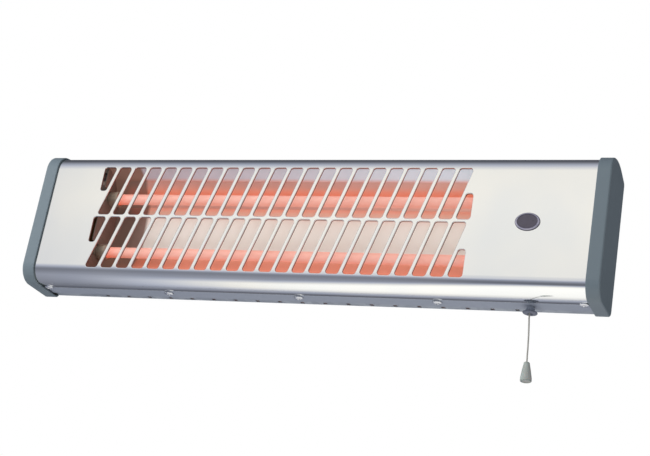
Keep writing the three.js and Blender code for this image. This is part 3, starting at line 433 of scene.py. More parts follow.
def corner_circle(corner):
    """Centre and radius of that corner's arc."""
    points, outward = arc_of(corner)
    radius = (points[0] - points[-1]) @ (outward[0] - outward[-1])
    radius /= ((outward[0] - outward[-1]) ** 2).sum()
    return points[0] - radius * outward[0], radius


(bottom_centre, bottom_radius), (top_centre, top_radius) = corner_circle(0), corner_circle(4)


def front_skin(x, z):
    """Point and outward direction of the front skin at (x, z) in millimetres: flat between
    the two bends, and on a circle beyond them."""
    over = np.clip((z - top_centre[1]) / top_radius, 0, 0.999)
    under = np.clip((bottom_centre[1] - z) / bottom_radius, 0, 0.999)
    sine = over - under
    cosine = np.sqrt(1 - sine**2)
    bend = np.where(sine > 0, top_radius, bottom_radius)
    y = -(FRONT - COVER_INSET) + bend * (1 - cosine)
    return np.stack([x, y, z], -1), np.stack([np.zeros_like(x), -cosine, sine], -1)


print("bends start at", round(float(bottom_centre[1]), 1), round(float(top_centre[1]), 1))

# %% Slot edges turned inwards
EDGE_ROUND = 0.7
EDGE_DEPTH = 2.4


def slot_ring(spread):
    """Outlines of all slots, made wider by spread: (slots, points, 2), with outward
    directions. Long sides get extra points so that the skin can follow the bends."""
    corners = inset_corners(slots, -spread)
    radii = np.full(corners.shape[:2], SLOT_CORNER + spread)
    arcs, outward = corner_arcs(corners, radii, 7)
    ends, starts = arcs[:, :, -1], np.roll(arcs[:, :, 0], -1, axis=1)
    t = np.linspace(0, 1, 12)[1:-1]
    straight = ends[:, :, None] + (starts - ends)[:, :, None] * t[:, None]
    normal = np.repeat(outward[:, :, -1:], len(t), axis=2)
    ring = np.concatenate([arcs, straight], axis=2)
    normals = np.concatenate([outward, normal], axis=2)
    return ring.reshape(len(slots), -1, 2), normals.reshape(len(slots), -1, 2)


def slot_edges():
    """The turned-in edges, as rings from the skin inwards: the way round is a quarter
    circle of radius EDGE_ROUND, then straight in. The direction swings from the skin's own
    to one that points into the slot."""
    rise, run = quarter(6)
    spreads = np.concatenate([EDGE_ROUND * (1 - rise), [0.0, 0.0]])
    depths = np.concatenate([EDGE_ROUND * run, [1.6, EDGE_DEPTH]])
    swing = np.concatenate([rise, [1.0, 1.0]])
    points, normals = [], []
    for spread, depth, s in zip(spreads, depths, swing):
        ring, outward = slot_ring(spread)
        skin, face = front_skin(ring[..., 0], ring[..., 1])
        inward = np.stack([-outward[..., 0], np.zeros(outward.shape[:2]), -outward[..., 1]], -1)
        points.append(skin - depth * face)
        normals.append(np.sqrt(max(0.0, 1 - s * s)) * face + s * inward)
    return np.array(points), np.array(normals)


edge_points, edge_normals = slot_edges()
levels, slot_count, ring_size, _ = edge_points.shape
print("slot edges:", levels, "rings of", ring_size, "points on", slot_count, "slots")

# %% [markdown]
# The skin between the slots is a flat sheet with holes. No grid fits round leaning slots,
# so Blender's own triangulation fills it: it keeps the slot outlines as edges and joins
# everything between them. Its points go back through the same formula as the slot edges.

# %% Fill the sheet between the slots
COVER_HALF = 297.2
COVER_COLUMNS = 199
SLOT_CLEARANCE = 0.5
ROUNDING_ERROR = 1e-9
cover_x = np.linspace(-COVER_HALF, COVER_HALF, COVER_COLUMNS)


def in_slots(points, spread, margin=0.0):
    """Which of these points lie in a slot made wider by spread: on the inner side of all
    the ring's edges. With a margin, points on an edge count too."""
    ring, _ = slot_ring(spread)
    edge = np.roll(ring, -1, axis=1) - ring
    away = points[:, None, None] - ring[None]
    turn = edge[None, ..., 0] * away[..., 1] - edge[None, ..., 1] * away[..., 0]
    return (turn > -margin).all(axis=2).any(axis=1)


def fill_points():
    """Border, bend lines and a loose lattice of points for the sheet."""
    below_slots = [-WEB_TOP, -58, -57, bottom_centre[1]]
    above_slots = [top_centre[1], 57, 58, WEB_TOP]
    z = np.concatenate([below_slots, np.linspace(-48, 48, 17), above_slots])
    lattice = np.stack(np.meshgrid(cover_x, z), -1).reshape(-1, 2)
    return lattice[~in_slots(lattice, EDGE_ROUND + SLOT_CLEARANCE)]


def fill_sheet():
    """Points (x, z) and triangles of the sheet between the slots and the bends."""
    ring, _ = slot_ring(EDGE_ROUND)
    loose = fill_points()
    flat = np.vstack([ring.reshape(-1, 2), loose])
    number = np.arange(slot_count * ring_size).reshape(slot_count, ring_size)
    edges = np.stack([number, np.roll(number, -1, axis=1)], -1).reshape(-1, 2)
    out = delaunay_2d_cdt([Vector(p) for p in flat], edges.tolist(), [], 0, 1e-6)
    spots = np.array([tuple(p) for p in out[0]])
    triangles = np.array([tuple(face) for face in out[2]])
    centres = spots[triangles].mean(axis=1)
    return spots, triangles[~in_slots(centres, EDGE_ROUND, ROUNDING_ERROR)]


sheet_spots, sheet_triangles = fill_sheet()
print("sheet:", len(sheet_spots), "points,", len(sheet_triangles), "triangles")

# %% The bends above and below, as strips along the heater
LIP_INSET = 2.7
EASE_START = -43.5
EASE_END = -30.2
LIP_END = -13.0
TOP_EDGE = -6.0


def upper_path():
    """From the sheet's top edge over the top bend and the arch to the rear edge."""
    bend, bend_out = arc_of(4, 60)
    arch, arch_out = arc_of(3, 30)
    keep = bend[:, 1] > WEB_TOP + 0.05
    start, start_out = front_skin(np.zeros(1), np.full(1, WEB_TOP))
    order = np.argsort(bend[keep][:, 1])
    points = np.vstack([start[:, 1:], bend[keep][order], arch[::-1]])
    outward = np.vstack([start_out[:, 1:], bend_out[keep][order], arch_out[::-1]])
    last = outward[-1]
    slope = np.array([last[1], -last[0]])
    reach = (TOP_EDGE - points[-1, 0]) / slope[0]
    points = np.vstack([points, points[-1] + slope * reach])
    return points, np.vstack([outward, last])


def under_z(y, inset):
    """Height of the underside at y, moved inwards by inset."""
    slope = (CORNERS_Z[1] - CORNERS_Z[0]) / (CORNERS_Y[1] - CORNERS_Y[0])
    return CORNERS_Z[0] + slope * (y - CORNERS_Y[0]) + inset * np.hypot(1, slope)


def lower_path():
    """From the sheet's bottom edge round the bend, back under the heater and along the lip.
    Between bend and lip the sheet draws in. With the run t from 0 to 1, the way in is
    t squared / 0.9 up to t = 0.9, and then 1 - (1 - t) squared / 0.1."""
    bend, bend_out = arc_of(0, 60)
    keep = bend[:, 1] < -WEB_TOP - 0.05
    start, start_out = front_skin(np.zeros(1), np.full(1, -WEB_TOP))
    order = np.argsort(-bend[keep][:, 1])
    t = np.linspace(0.04, 1, 26)
    drawn = np.where(t < 0.9, t**2 / 0.9, 1 - (1 - t) ** 2 / 0.1)
    drawn_y = EASE_START + (EASE_END - EASE_START) * t
    drawn_z = under_z(drawn_y, COVER_INSET + (LIP_INSET - COVER_INSET) * drawn)
    lip_y = np.linspace(EASE_END + 1, LIP_END, 6)
    lip_z = under_z(lip_y, LIP_INSET)
    flat_y, flat_z = np.concatenate([drawn_y, lip_y]), np.concatenate([drawn_z, lip_z])
    slope = np.gradient(flat_z, flat_y)
    flat_out = np.column_stack([slope, -np.ones_like(slope)])
    flat_out /= np.linalg.norm(flat_out, axis=1, keepdims=True)
    points = np.vstack([start[:, 1:], bend[keep][order], np.column_stack([flat_y, flat_z])])
    return points, np.vstack([start_out[:, 1:], bend_out[keep][order], flat_out])


def strip(path, outward):
    """Carries a (y, z) path along the heater: grids of points and directions."""
    x = cover_x[None]
    points = np.stack(np.broadcast_arrays(x, path[:, :1], path[:, 1:]), -1)
    normals = np.stack(np.broadcast_arrays(0 * x, outward[:, :1], outward[:, 1:]), -1)
    return points, normals


upper, lower = strip(*upper_path()), strip(*lower_path())
print("strips:", upper[0].shape[:2], lower[0].shape[:2])

# %% Join the parts of the outer skin


def outer_skin():
    """All parts of the outer skin as one list of points, directions and faces. Every face
    is turned to look the way that its points' directions do."""
    sheet_points, sheet_normals = front_skin(sheet_spots[:, 0], sheet_spots[:, 1])
    points = [sheet_points, edge_points.reshape(-1, 3)]
    normals = [sheet_normals, edge_normals.reshape(-1, 3)]
    per_level = slot_count * ring_size
    ring = np.arange(per_level).reshape(slot_count, ring_size)
    after = np.roll(ring, -1, axis=1)
    level = np.arange(levels - 1)[:, None, None] * per_level
    near, far = level, level + per_level
    quads = np.stack([ring + near, after + near, after + far, ring + far], -1)
    faces = [np.pad(sheet_triangles, ((0, 0), (0, 1)), constant_values=-1)]
    faces.append(quads.reshape(-1, 4) + len(sheet_points))
    start = len(sheet_points) + levels * per_level
    for grid, directions in (upper, lower):
        points.append(grid.reshape(-1, 3))
        normals.append(directions.reshape(-1, 3))
        faces.append(grid_quads(*grid.shape[:2]) + start)
        start += grid.shape[0] * grid.shape[1]
    return np.vstack(points), np.vstack(normals), np.vstack(faces)


# %% Weld the skin and find its open edges
WELD_STEPS = 400


def face_ways(points, faces):
    """Direction that each face looks, from its first three corners."""
    a, b, c = (points[faces[:, k]] for k in range(3))
    return np.cross(b - a, c - a)


def open_edges(faces):
    """Edges that only one face uses, as pairs in that face's order."""
    triangle = faces[:, 3] < 0
    last = np.where(triangle, faces[:, 2], faces[:, 3])
    pairs = [faces[:, [0, 1]], faces[:, [1, 2]], faces[~triangle][:, [2, 3]]]
    pairs.append(np.column_stack([last, faces[:, 0]]))
    pairs = np.vstack(pairs)
    size = pairs.max() + 1
    key, back = pairs[:, 0] * size + pairs[:, 1], pairs[:, 1] * size + pairs[:, 0]
    return pairs[~np.isin(key, back)]


def weld_arrays(points, normals, faces):
    """Merges points that are the same to 1 / WELD_STEPS of a millimetre, so that
    neighbouring skins share them."""
    spot = np.round(points * WELD_STEPS).astype(np.int64)
    _, first, which = np.unique(spot, axis=0, return_index=True, return_inverse=True)
    which = which.reshape(-1)
    faces = np.where(faces < 0, -1, which[faces])
    return points[first], normals[first], faces


# %% Give the skin its thickness


def cover_mesh():
    """The skin, its copy moved inwards by the sheet's thickness, and walls along the open
    edges. A face of three corners has -1 as its fourth."""
    points, normals, faces = outer_skin()
    points, normals, faces = weld_arrays(points, normals, faces)
    ways = (face_ways(points, faces) * normals[faces[:, :3]].sum(axis=1)).sum(-1) < 0
    flipped = faces.copy()
    flipped[:, :3] = faces[:, 2::-1]
    square = faces[:, 3] >= 0
    flipped[square] = faces[square][:, ::-1]
    faces = np.where(ways[:, None], flipped, faces)
    count = len(points)
    inner = points - COVER_SHEET * normals
    rims = open_edges(faces)
    inside = np.where(faces < 0, -1, faces + count)
    turned = inside[:, 2::-1]
    inside = np.where(
        square[:, None], inside[:, ::-1], np.column_stack([turned, inside[:, 3]]),
    )
    walls = np.column_stack([rims[:, 1], rims[:, 0], rims[:, 0] + count, rims[:, 1] + count])
    skins = np.vstack([faces, inside, walls])
    return np.vstack([points, inner]) * MM, np.vstack([normals, -normals]), skins, len(walls)


# %% Set the cover's exact directions
cover_points, cover_normals, cover_faces, wall_count = cover_mesh()
cover_data = bpy.data.meshes.new("cover_skin")
cover_data.from_pydata(
    cover_points.tolist(), [], [face[face >= 0].tolist() for face in cover_faces],
)
cover_data.polygons.foreach_set("use_smooth", np.ones(len(cover_faces), dtype=bool))
corner_verts = np.empty(len(cover_data.loops), dtype=np.int32)
cover_data.loops.foreach_get("vertex_index", corner_verts)
corner_ways = cover_normals[corner_verts]
flat_corners = 4 * wall_count
wall_quads = cover_faces[-wall_count:]
wall_ways = face_ways(cover_points, wall_quads)
wall_ways /= np.maximum(np.linalg.norm(wall_ways, axis=1, keepdims=True), 1e-12)
corner_ways[-flat_corners:] = np.repeat(wall_ways, 4, axis=0)
cover_data.normals_split_custom_set(corner_ways.tolist())
cover = put("cover_skin", cover_data)
stand_for(cover, "base", "cover", "front_cover")

# %% [markdown]
# ## The reflector
#
# Behind the tubes lies a trough of bright sheet, folded along its length. A real fold has
# a small radius, which draws out the reflection of a tube into a soft band, so the folds
# are rounded. The brackets that carry the tubes close the trough's ends.

# %% Fold the reflector
REFLECTOR = np.array([
    (-56.0, 59.0), (-33.0, 50.0), (-16.0, 26.0), (-16.0, -26.0), (-33.0, -50.0), (-56.0, -59.0),
])
FOLD_RADIUS = 4.0
REFLECTOR_SHEET = 0.6
REFLECTOR_X = (-229.0, 187.0)
REFLECTOR_COLUMNS = 60


def open_path(corners, radius, steps):
    """Rounds the inner corners of an open path of (y, z) points."""
    closed = corner_arcs(corners, np.full(len(corners), radius), steps)[0]
    return np.vstack([corners[:1], closed[1:-1].reshape(-1, 2), corners[-1:]])


def path_sides(path):
    """Direction to the left of a path at each of its points."""
    tangent = np.gradient(path, axis=0)
    tangent /= np.linalg.norm(tangent, axis=1, keepdims=True)
    return np.column_stack([-tangent[:, 1], tangent[:, 0]])


def sheet_along_x(name, path, thickness, x_range, columns):
    """A thin closed sheet: the path and its copy moved to the left, carried along X."""
    loop = np.vstack([path, (path + thickness * path_sides(path))[::-1]])
    x = np.linspace(x_range[0], x_range[1], columns)
    grid = np.stack(np.broadcast_arrays(x[:, None], loop[None, :, 0], loop[None, :, 1]), -1)
    rows, cols = grid.shape[:2]
    quads = grid_quads(rows, cols, wrap_cols=True).tolist()
    half = cols // 2
    i = np.arange(half - 1)
    end = np.column_stack([i, i + 1, cols - 2 - i, cols - 1 - i])
    quads += end.tolist() + (end + (rows - 1) * cols).tolist()
    return make_piece(name, grid * MM, quads)


trough_path = open_path(REFLECTOR, FOLD_RADIUS, 8)
trough = sheet_along_x(
    "reflector_trough", trough_path, REFLECTOR_SHEET, REFLECTOR_X, REFLECTOR_COLUMNS,
)
stand_for(trough, "base", "reflector", "reflector")

# %% [markdown]
# ## Turned pieces
#
# Tubes, ceramic ends, the cord's guide and bell, the screws and the bush are all round.
# Each is a profile of radius and height turned about an axis. The profile is a short list
# of stops; a helper rounds its corners so that edges catch the light.

# %% Turn a profile about an axis
SOFT_STEPS = 4


def soften(profile, radius):
    """Rounds the inner corners of an open profile by a small radius."""
    profile = np.array(profile, dtype=float)
    if radius <= 0:
        return profile
    arcs = corner_arcs(profile, np.full(len(profile), float(radius)), SOFT_STEPS)[0]
    return np.vstack([profile[:1], arcs[1:-1].reshape(-1, 2), profile[-1:]])


def turned(name, profile, centre, axis, sides, round_by, closed=False):
    """A profile of (radius, height) in millimetres, turned about an axis through centre.
    A closed profile ends where it began."""
    profile = soften(profile, round_by)
    axis = np.array(axis, dtype=float)
    hint = np.array([1.0, 0, 0]) if abs(axis[0]) < 0.9 else np.array([0, 1.0, 0])
    u = np.cross(axis, hint)
    u /= np.linalg.norm(u)
    v = np.cross(axis, u)
    angle = np.linspace(0, 2 * np.pi, sides, endpoint=False)
    around = np.cos(angle)[:, None] * u + np.sin(angle)[:, None] * v
    grid = profile[:, :1, None] * around[None] + profile[:, 1:, None] * axis
    points = np.asarray(centre) + grid * MM
    quads = grid_quads(len(profile), sides, wrap_rows=closed, wrap_cols=True)
    return make_piece(name, points, quads)


TUBE_RADIUS = 5.5
TUBE_WALL = 1.0
tubes, coils = [], []
for level in ("upper", "lower"):
    low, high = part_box(f"quartz_tube_{level}")
    at = middle_of(f"quartz_tube_{level}")
    half = (high[0] - low[0]) / 2 / MM
    inner = TUBE_RADIUS - TUBE_WALL
    ring = [(inner, -half), (TUBE_RADIUS, -half), (TUBE_RADIUS, half), (inner, half)]
    tube = turned(f"glow_tube_{level}", ring, at, (1, 0, 0), 40, 0, closed=True)
    stand_for(tube, "base", "quartz", f"quartz_tube_{level}")
    tubes.append(tube)

# %% [markdown]
# ## The heating coils
#
# Inside each tube a thin wire is wound into a long coil. It is a helix: the point runs
# along X while it goes round, and a thin ring follows it. The milky tube blurs it, so a
# wire of five sides is fine enough.

# %% Wind the coils
COIL_RADIUS = 3.6
COIL_WIRE = 0.45
COIL_PITCH = 3.2
COIL_SIDES = 5


def helix(low, high, centre, radius, pitch, steps_per_turn=12):
    """Points at x, centre + radius * (cos, sin) of 2 pi x / pitch."""
    turns = (high - low) / pitch
    t = np.linspace(0, 1, int(turns * steps_per_turn))
    angle = 2 * np.pi * turns * t
    return np.column_stack([
        low + (high - low) * t,
        centre[1] + radius * np.cos(angle),
        centre[2] + radius * np.sin(angle),
    ])


def even_radius(size):
    """A radius that is the same all along and all round."""
    return lambda run, angle: size + 0 * angle * run


for level in ("upper", "lower"):
    low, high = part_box(f"heating_coil_{level}")
    at = middle_of(f"heating_coil_{level}")
    path = helix(low[0] + 1 * MM, high[0] - 1 * MM, at, COIL_RADIUS * MM, COIL_PITCH * MM)
    wire = even_radius(COIL_WIRE * MM)
    coil = closed_tube(f"coil_{level}", path, wire, COIL_SIDES, (1, 0, 0))
    stand_for(coil, "base", "coil", f"heating_coil_{level}")
    coils.append(coil)

# %% [markdown]
# ## The return spring
#
# Inside the switch a spring pushes the pull rod up again. It stands between the floor and
# the rod's collar, so it gets shorter as the rod comes down. A rigid piece would be cut by
# the collar. The helix from above is wound again, upright, over the height of the spring's
# solid, and keeps that length.

# %% Wind the return spring
SPRING_RADIUS = 3.9
SPRING_WIRE = 0.5
SPRING_TURNS = 6
SPRING_SIDES = 8
low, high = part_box("return_spring")
at = middle_of("return_spring")
bottom, top = low[2] + SPRING_WIRE * MM, high[2] - SPRING_WIRE * MM
spring_pitch = (top - bottom) / SPRING_TURNS
lying = helix(bottom, top, (0, at[0], at[1]), SPRING_RADIUS * MM, spring_pitch, steps_per_turn=24)
upright = lying[:, [1, 2, 0]]
wire = even_radius(SPRING_WIRE * MM)
spring = closed_tube("wound_spring", upright, wire, SPRING_SIDES, (0, 0, 1))
stand_for(spring, "base", "screw", "return_spring")
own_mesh(spring)
print("return spring", round((high[2] - low[2]) / MM, 1), "mm high")

# %% [markdown]
# ## Ceramic ends
#
# Tubes of this kind end in ceramic sockets, which carry them in the brackets. Next to
# nothing of them shows, so their form is a guess: a round body with a groove for the
# bracket's sheet. One closed profile turned about the tube's axis makes it, and the same
# profile serves all four, facing left or right.

# %% Turn the ceramic ends
CERAMIC = [
    (5.8, -3.2), (5.8, -10.8), (8.0, -10.8), (8.0, -0.8), (6.0, -0.8), (6.0, 0.8), (8.0, 0.8),
    (8.0, 8.2), (1.8, 8.2), (1.8, -3.2),
]
BRACKETS = {"left": (-229.8 * MM, -1), "right": (187.8 * MM, 1)}
ceramics = []
for level in ("upper", "lower"):
    for side_name, (x, sign) in BRACKETS.items():
        node = f"ceramic_end_{level}_{side_name}"
        at = middle_of(node)
        name, place = f"ceramic_{level}_{side_name}", (x, at[1], at[2])
        end = turned(name, CERAMIC, place, (sign, 0, 0), 40, 0.35, closed=True)
        stand_for(end, "base", "ceramic", node)
        ceramics.append(end)

# %% [markdown]
# ## The cord's guide, the bell and the inlet bush
#
# Below the right end the cord comes out of a short collar with a thin flange, and it ends
# in a bell to pull at. The bush lines the cable's hole in the tray. It doesn't show, so it
# is a guess. All three are round, and each is a list of radii and heights turned about an
# axis, so that every size can be read from its list. The bell leans with the cord's end.

# %% Turn the guide, the bell and the bush
guide_low, guide_high = (np.array(corner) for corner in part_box("cord_guide"))
guide_at = (guide_low + guide_high) / 2
guide_mouth = guide_low[2]
GUIDE = [
    (1.7, 9.3), (3.7, 9.3), (3.7, 6.4), (4.5, 6.4), (4.5, 1.8), (7.1, 1.8), (7.1, 1.1),
    (6.7, 0.6), (5.7, 0.2), (4.2, 0.0), (2.5, 0.0), (1.7, 1.2),
]
guide_foot = (guide_at[0], guide_at[1], guide_mouth)
guide = turned("guide_flange", GUIDE, guide_foot, (0, 0, 1), 56, 0.25, closed=True)
stand_for(guide, "base", "guide", "cord_guide")

CORD_IN_BELL = 3.5
BELL_TILT = math.radians(3.5)
BELL = [
    (0.0, -3.8), (1.1, -3.8), (1.1, -0.4), (1.5, 0.0), (2.3, 0.0), (2.9, -0.7), (4.1, -7.5),
    (5.25, -14.6), (5.35, -15.6), (5.35, -18.0), (4.9, -18.6), (4.3, -18.6), (3.9, -18.0),
    (0.0, -17.8),
]
cord_end = CORD_ROUTE[-1]
bell_axis = np.array([-math.sin(BELL_TILT), 0, math.cos(BELL_TILT)])
bell = turned("bell_pull", BELL, cord_end + CORD_IN_BELL * MM * bell_axis, bell_axis, 48, 0.35)
stand_for(bell, "cord_hang", "bell", "cord_bell")

BUSH = [(4.0, -0.1), (5.2, -0.1), (6.0, -0.1), (6.0, -1.3), (8.5, -1.3), (7.9, -3.3), (4.0, -3.3)]
bush_at = middle_of("inlet_bush")
bush = turned("cable_bush", BUSH, (bush_at[0], 0, bush_at[2]), (0, 1, 0), 48, 0.25, closed=True)
stand_for(bush, "base", "bush", "inlet_bush")

# %% [markdown]
# ## Cover screws
#
# Five screws hold the cover's lip. Their heads are too small in the photograph to tell the
# recess, so a low dome with a cross is a guess. The dome and the cross are one height
# function over a round grid: the dome falls off with the square of the radius, and the
# cross is deepest in the middle of its two arms.
#
# A head sits a small gap under the sloping lip, tilted with it. Its place along Y is that
# of the solid, moved by TILT_ARM * sin(tilt) - SEAT_SHIFT, which is only 0.03 mm.

# %% Press a cross into each head
HEAD_RADIUS = 4.6
HEAD_HEIGHT = 1.9
CROSS_ARM = 2.6
CROSS_WIDTH = 0.55
CROSS_DEPTH = 1.2
TILT_ARM = 4.0
SEAT_SHIFT = 0.1
HEAD_GAP = 0.25


def smooth_step(x, low, high):
    """0 up to low, 1 from high on, and 3 t squared - 2 t cubed between, with t the share
    of the way from low to high."""
    t = np.clip((x - low) / (high - low), 0, 1)
    return t * t * (3 - 2 * t)


def head_grid():
    """Points of a screw head that looks along -Z, rim first: (rings, sides, 3)."""
    angle = np.linspace(0, 2 * np.pi, 72, endpoint=False)
    radius = HEAD_RADIUS * np.concatenate([[1, 1], np.sqrt(np.linspace(0.98, 0, 26))])
    x, y = radius[:, None] * np.cos(angle), radius[:, None] * np.sin(angle)
    share = (radius / HEAD_RADIUS)[:, None] ** 2
    dome = HEAD_HEIGHT * (0.42 + 0.58 * np.sqrt(1 - 0.98 * share)) + 0 * x
    arm = 1 - smooth_step(np.minimum(abs(x), abs(y)), 0.6 * CROSS_WIDTH, 1.3 * CROSS_WIDTH)
    reach = 1 - smooth_step(np.maximum(abs(x), abs(y)), 0.55 * CROSS_ARM, CROSS_ARM)
    dome = dome - CROSS_DEPTH * arm * reach
    dome[0] = 0
    return np.stack([x, y, -dome], -1)


head = head_grid()
under_tilt = math.atan((CORNERS_Z[1] - CORNERS_Z[0]) / (CORNERS_Y[1] - CORNERS_Y[0]))
tilt_matrix = np.array([
    [1, 0, 0],
    [0, math.cos(under_tilt), -math.sin(under_tilt)],
    [0, math.sin(under_tilt), math.cos(under_tilt)],
])
head_objects = []
for i in range(1, 6):
    node = f"cover_screw_{i}"
    at = middle_of(node)
    seat_y = at[1] / MM + TILT_ARM * math.sin(under_tilt) - SEAT_SHIFT
    spin = 0.7 * i
    c, s = math.cos(spin), math.sin(spin)
    grid = head @ np.array([[c, -s, 0], [s, c, 0], [0, 0, 1]]).T @ tilt_matrix.T
    grid = grid + [at[0] / MM, seat_y, under_z(seat_y, LIP_INSET) - HEAD_GAP]
    quads = grid_quads(*grid.shape[:2], wrap_cols=True).tolist()
    quads.append(list(range(grid.shape[1]))[::-1])
    screw = make_piece(f"screw_head_{i}", grid * MM, quads, sharp=40)
    stand_for(screw, "base", "screw", node)
    head_objects.append(screw)

# %% [markdown]
# ## The badge
#
# A small oval plate sits at the right of the cover. A flat plate would look like paint, so
# it gets a raised ring and a shallow dish: the height is a function of how far out a point
# lies, from 0 in the middle to 1 at the edge. The ring is a bell curve, and the edge falls
# off to the cover.

# %% Raise the oval
badge_low, badge_high = (np.array(corner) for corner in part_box("badge"))
badge_at = (badge_low + badge_high) / 2
badge_half = (badge_high - badge_low) / 2 / MM
PLATE_HEIGHT = 0.85
RING_AT = 0.84
RING_SPREAD = 0.05
RING_HEIGHT = 0.45
DISH_DEPTH = 0.25
EDGE_DROP = 0.8
share = np.concatenate([np.linspace(0, 0.7, 8), np.linspace(0.74, 1.0, 16), [1.0]])
raised = RING_HEIGHT * np.exp(-(((share - RING_AT) / RING_SPREAD) ** 2))
raised = raised + DISH_DEPTH * smooth_step(share, 0.0, 0.8)
height = PLATE_HEIGHT + raised - EDGE_DROP * smooth_step(share, 0.9, 1.0)
height[-1] = 0
angle = np.linspace(0, 2 * np.pi, 96, endpoint=False)
oval = np.stack([
    badge_half[0] * share[:, None] * np.cos(angle),
    -np.broadcast_to(height[:, None], (len(share), len(angle))),
    badge_half[2] * share[:, None] * np.sin(angle),
], -1)
oval = oval * MM + [badge_at[0], badge_high[1], badge_at[2]]
faces = grid_quads(*oval.shape[:2], wrap_cols=True).tolist()
faces.append([(len(share) - 1) * len(angle) + k for k in range(len(angle))])
badge = make_piece("badge_oval", oval, faces, sharp=60)
stand_for(badge, "base", "badge", "badge")

# %% [markdown]
# ## Writing finishes as sums
#
# A finish is a network of nodes, but most of it is arithmetic. The small class below wraps
# a socket, so that `0.2 + 0.1 * grain` adds its Math nodes by itself. Every other node
# comes from one method, which sets the node's options first and then feeds its sockets.
# The world and the tent further below use the same two classes.

# %% A socket that can stand in a sum


class Term:
    """One output socket of a network, with plus, minus and times."""

    def __init__(self, network, socket):
        self.network = network
        self.socket = socket

    def sum_with(self, operation, first, second):
        """A Math node between two values, of which at least one is a socket."""
        options = {"operation": operation}
        return self.network.node("ShaderNodeMath", options, {0: first, 1: second})

    def __add__(self, other):
        return self.sum_with("ADD", self, other)

    def __radd__(self, other):
        return self.sum_with("ADD", other, self)

    def __sub__(self, other):
        return self.sum_with("SUBTRACT", self, other)

    def __rsub__(self, other):
        return self.sum_with("SUBTRACT", other, self)

    def __mul__(self, other):
        return self.sum_with("MULTIPLY", self, other)

    def __rmul__(self, other):
        return self.sum_with("MULTIPLY", other, self)


# %% Nodes from one method


class Network:
    """The nodes of one material or world."""

    def __init__(self, owner):
        owner.use_nodes = True
        self.tree = owner.node_tree

    def node(self, kind, options=None, inputs=None, out=0):
        """Adds a node, sets its options and feeds its sockets. Returns one output, or
        nothing where the node has none."""
        made = self.tree.nodes.new(kind)
        for key, value in (options or {}).items():
            setattr(made, key, value)
        for key, value in (inputs or {}).items():
            self.feed(made.inputs[key], value)
        return Term(self, made.outputs[out]) if made.outputs else None

    def feed(self, socket, value):
        """Links a socket to a term, or sets it to a plain value."""
        if isinstance(value, Term):
            self.tree.links.new(value.socket, socket)
        else:
            socket.default_value = value


class Finish(Network):
    """A material with one Principled shader."""

    def __init__(self, name, **fixed):
        self.material = bpy.data.materials.new(name)
        super().__init__(self.material)
        self.shader = self.tree.nodes["Principled BSDF"]
        for label, value in fixed.items():
            self.shader.inputs[label.replace("_", " ")].default_value = value

    def set(self, label, value):
        """Feeds one of the shader's sockets."""
        self.feed(self.shader.inputs[label], value)

    def place(self, scale=(1, 1, 1), turn=(0, 0, 0)):
        """Object coordinates in metres, stretched by scale."""
        spot = self.node("ShaderNodeTexCoord", out="Object")
        inputs = {"Vector": spot, "Scale": scale, "Rotation": turn}
        return self.node("ShaderNodeMapping", {}, inputs)

    def noise(self, scale, detail=2, rough=0.5, stretch=(1, 1, 1), turn=(0, 0, 0)):
        """Soft random values from 0 to 1; scale is in lumps for each metre."""
        inputs = {"Vector": self.place(stretch, turn), "Scale": scale, "Detail": detail}
        inputs["Roughness"] = rough
        return self.node("ShaderNodeTexNoise", {}, inputs)

    def cells(self, scale):
        """Cells like crystals, each with a random colour."""
        inputs = {"Vector": self.place(), "Scale": scale}
        return self.node("ShaderNodeTexVoronoi", {}, inputs, out="Color")

    def mix(self, share, first, second):
        """Colour between two colours."""
        inputs = {0: share, 6: first, 7: second}
        return self.node("ShaderNodeMix", {"data_type": "RGBA"}, inputs, out=2)

    def ranged(self, value, low, high, new_low, new_high):
        """Stretches values from one range to another, and cuts off what lies outside."""
        inputs = {"Value": value, 1: low, 2: high, 3: new_low, 4: new_high}
        return self.node("ShaderNodeMapRange", {}, inputs)

    def rises(self, value, span):
        """A mask: 0 before the span, 1 after it, and a straight slope between."""
        return self.ranged(value, *span, 0, 1)

    def falls(self, value, span):
        """A mask: 1 before the span, 0 after it, and a straight slope between."""
        return self.ranged(value, *span, 1, 0)

    def split(self, vector):
        """The three parts of a vector: X, Y and Z."""
        parts = self.node("ShaderNodeSeparateXYZ", {}, {"Vector": vector})
        return [Term(self, output) for output in parts.socket.node.outputs]

    def size_of(self, value):
        """A number without its sign."""
        return self.node("ShaderNodeMath", {"operation": "ABSOLUTE"}, {0: value})

    def bump(self, height, strength, distance):
        """Lets a height tilt the surface's direction; distance is in metres."""
        inputs = {"Height": height, "Strength": strength, "Distance": distance}
        self.set("Normal", self.node("ShaderNodeBump", {}, inputs))

    def dress(self, *things):
        """Puts the finish on pieces, or on solids given by name."""
        for thing in things:
            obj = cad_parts[thing] if isinstance(thing, str) else thing
            obj.data.materials.clear()
            obj.data.materials.append(self.material)
        print(self.material.name, "on", len(things))


def rgb(red, green, blue):
    """A colour as seen on a screen, 0 to 255, in the linear numbers that shaders use."""
    values = np.array([red, green, blue]) / 255
    linear = np.where(values <= 0.04045, values / 12.92, ((values + 0.055) / 1.055) ** 2.4)
    return (*[float(v) for v in linear], 1.0)
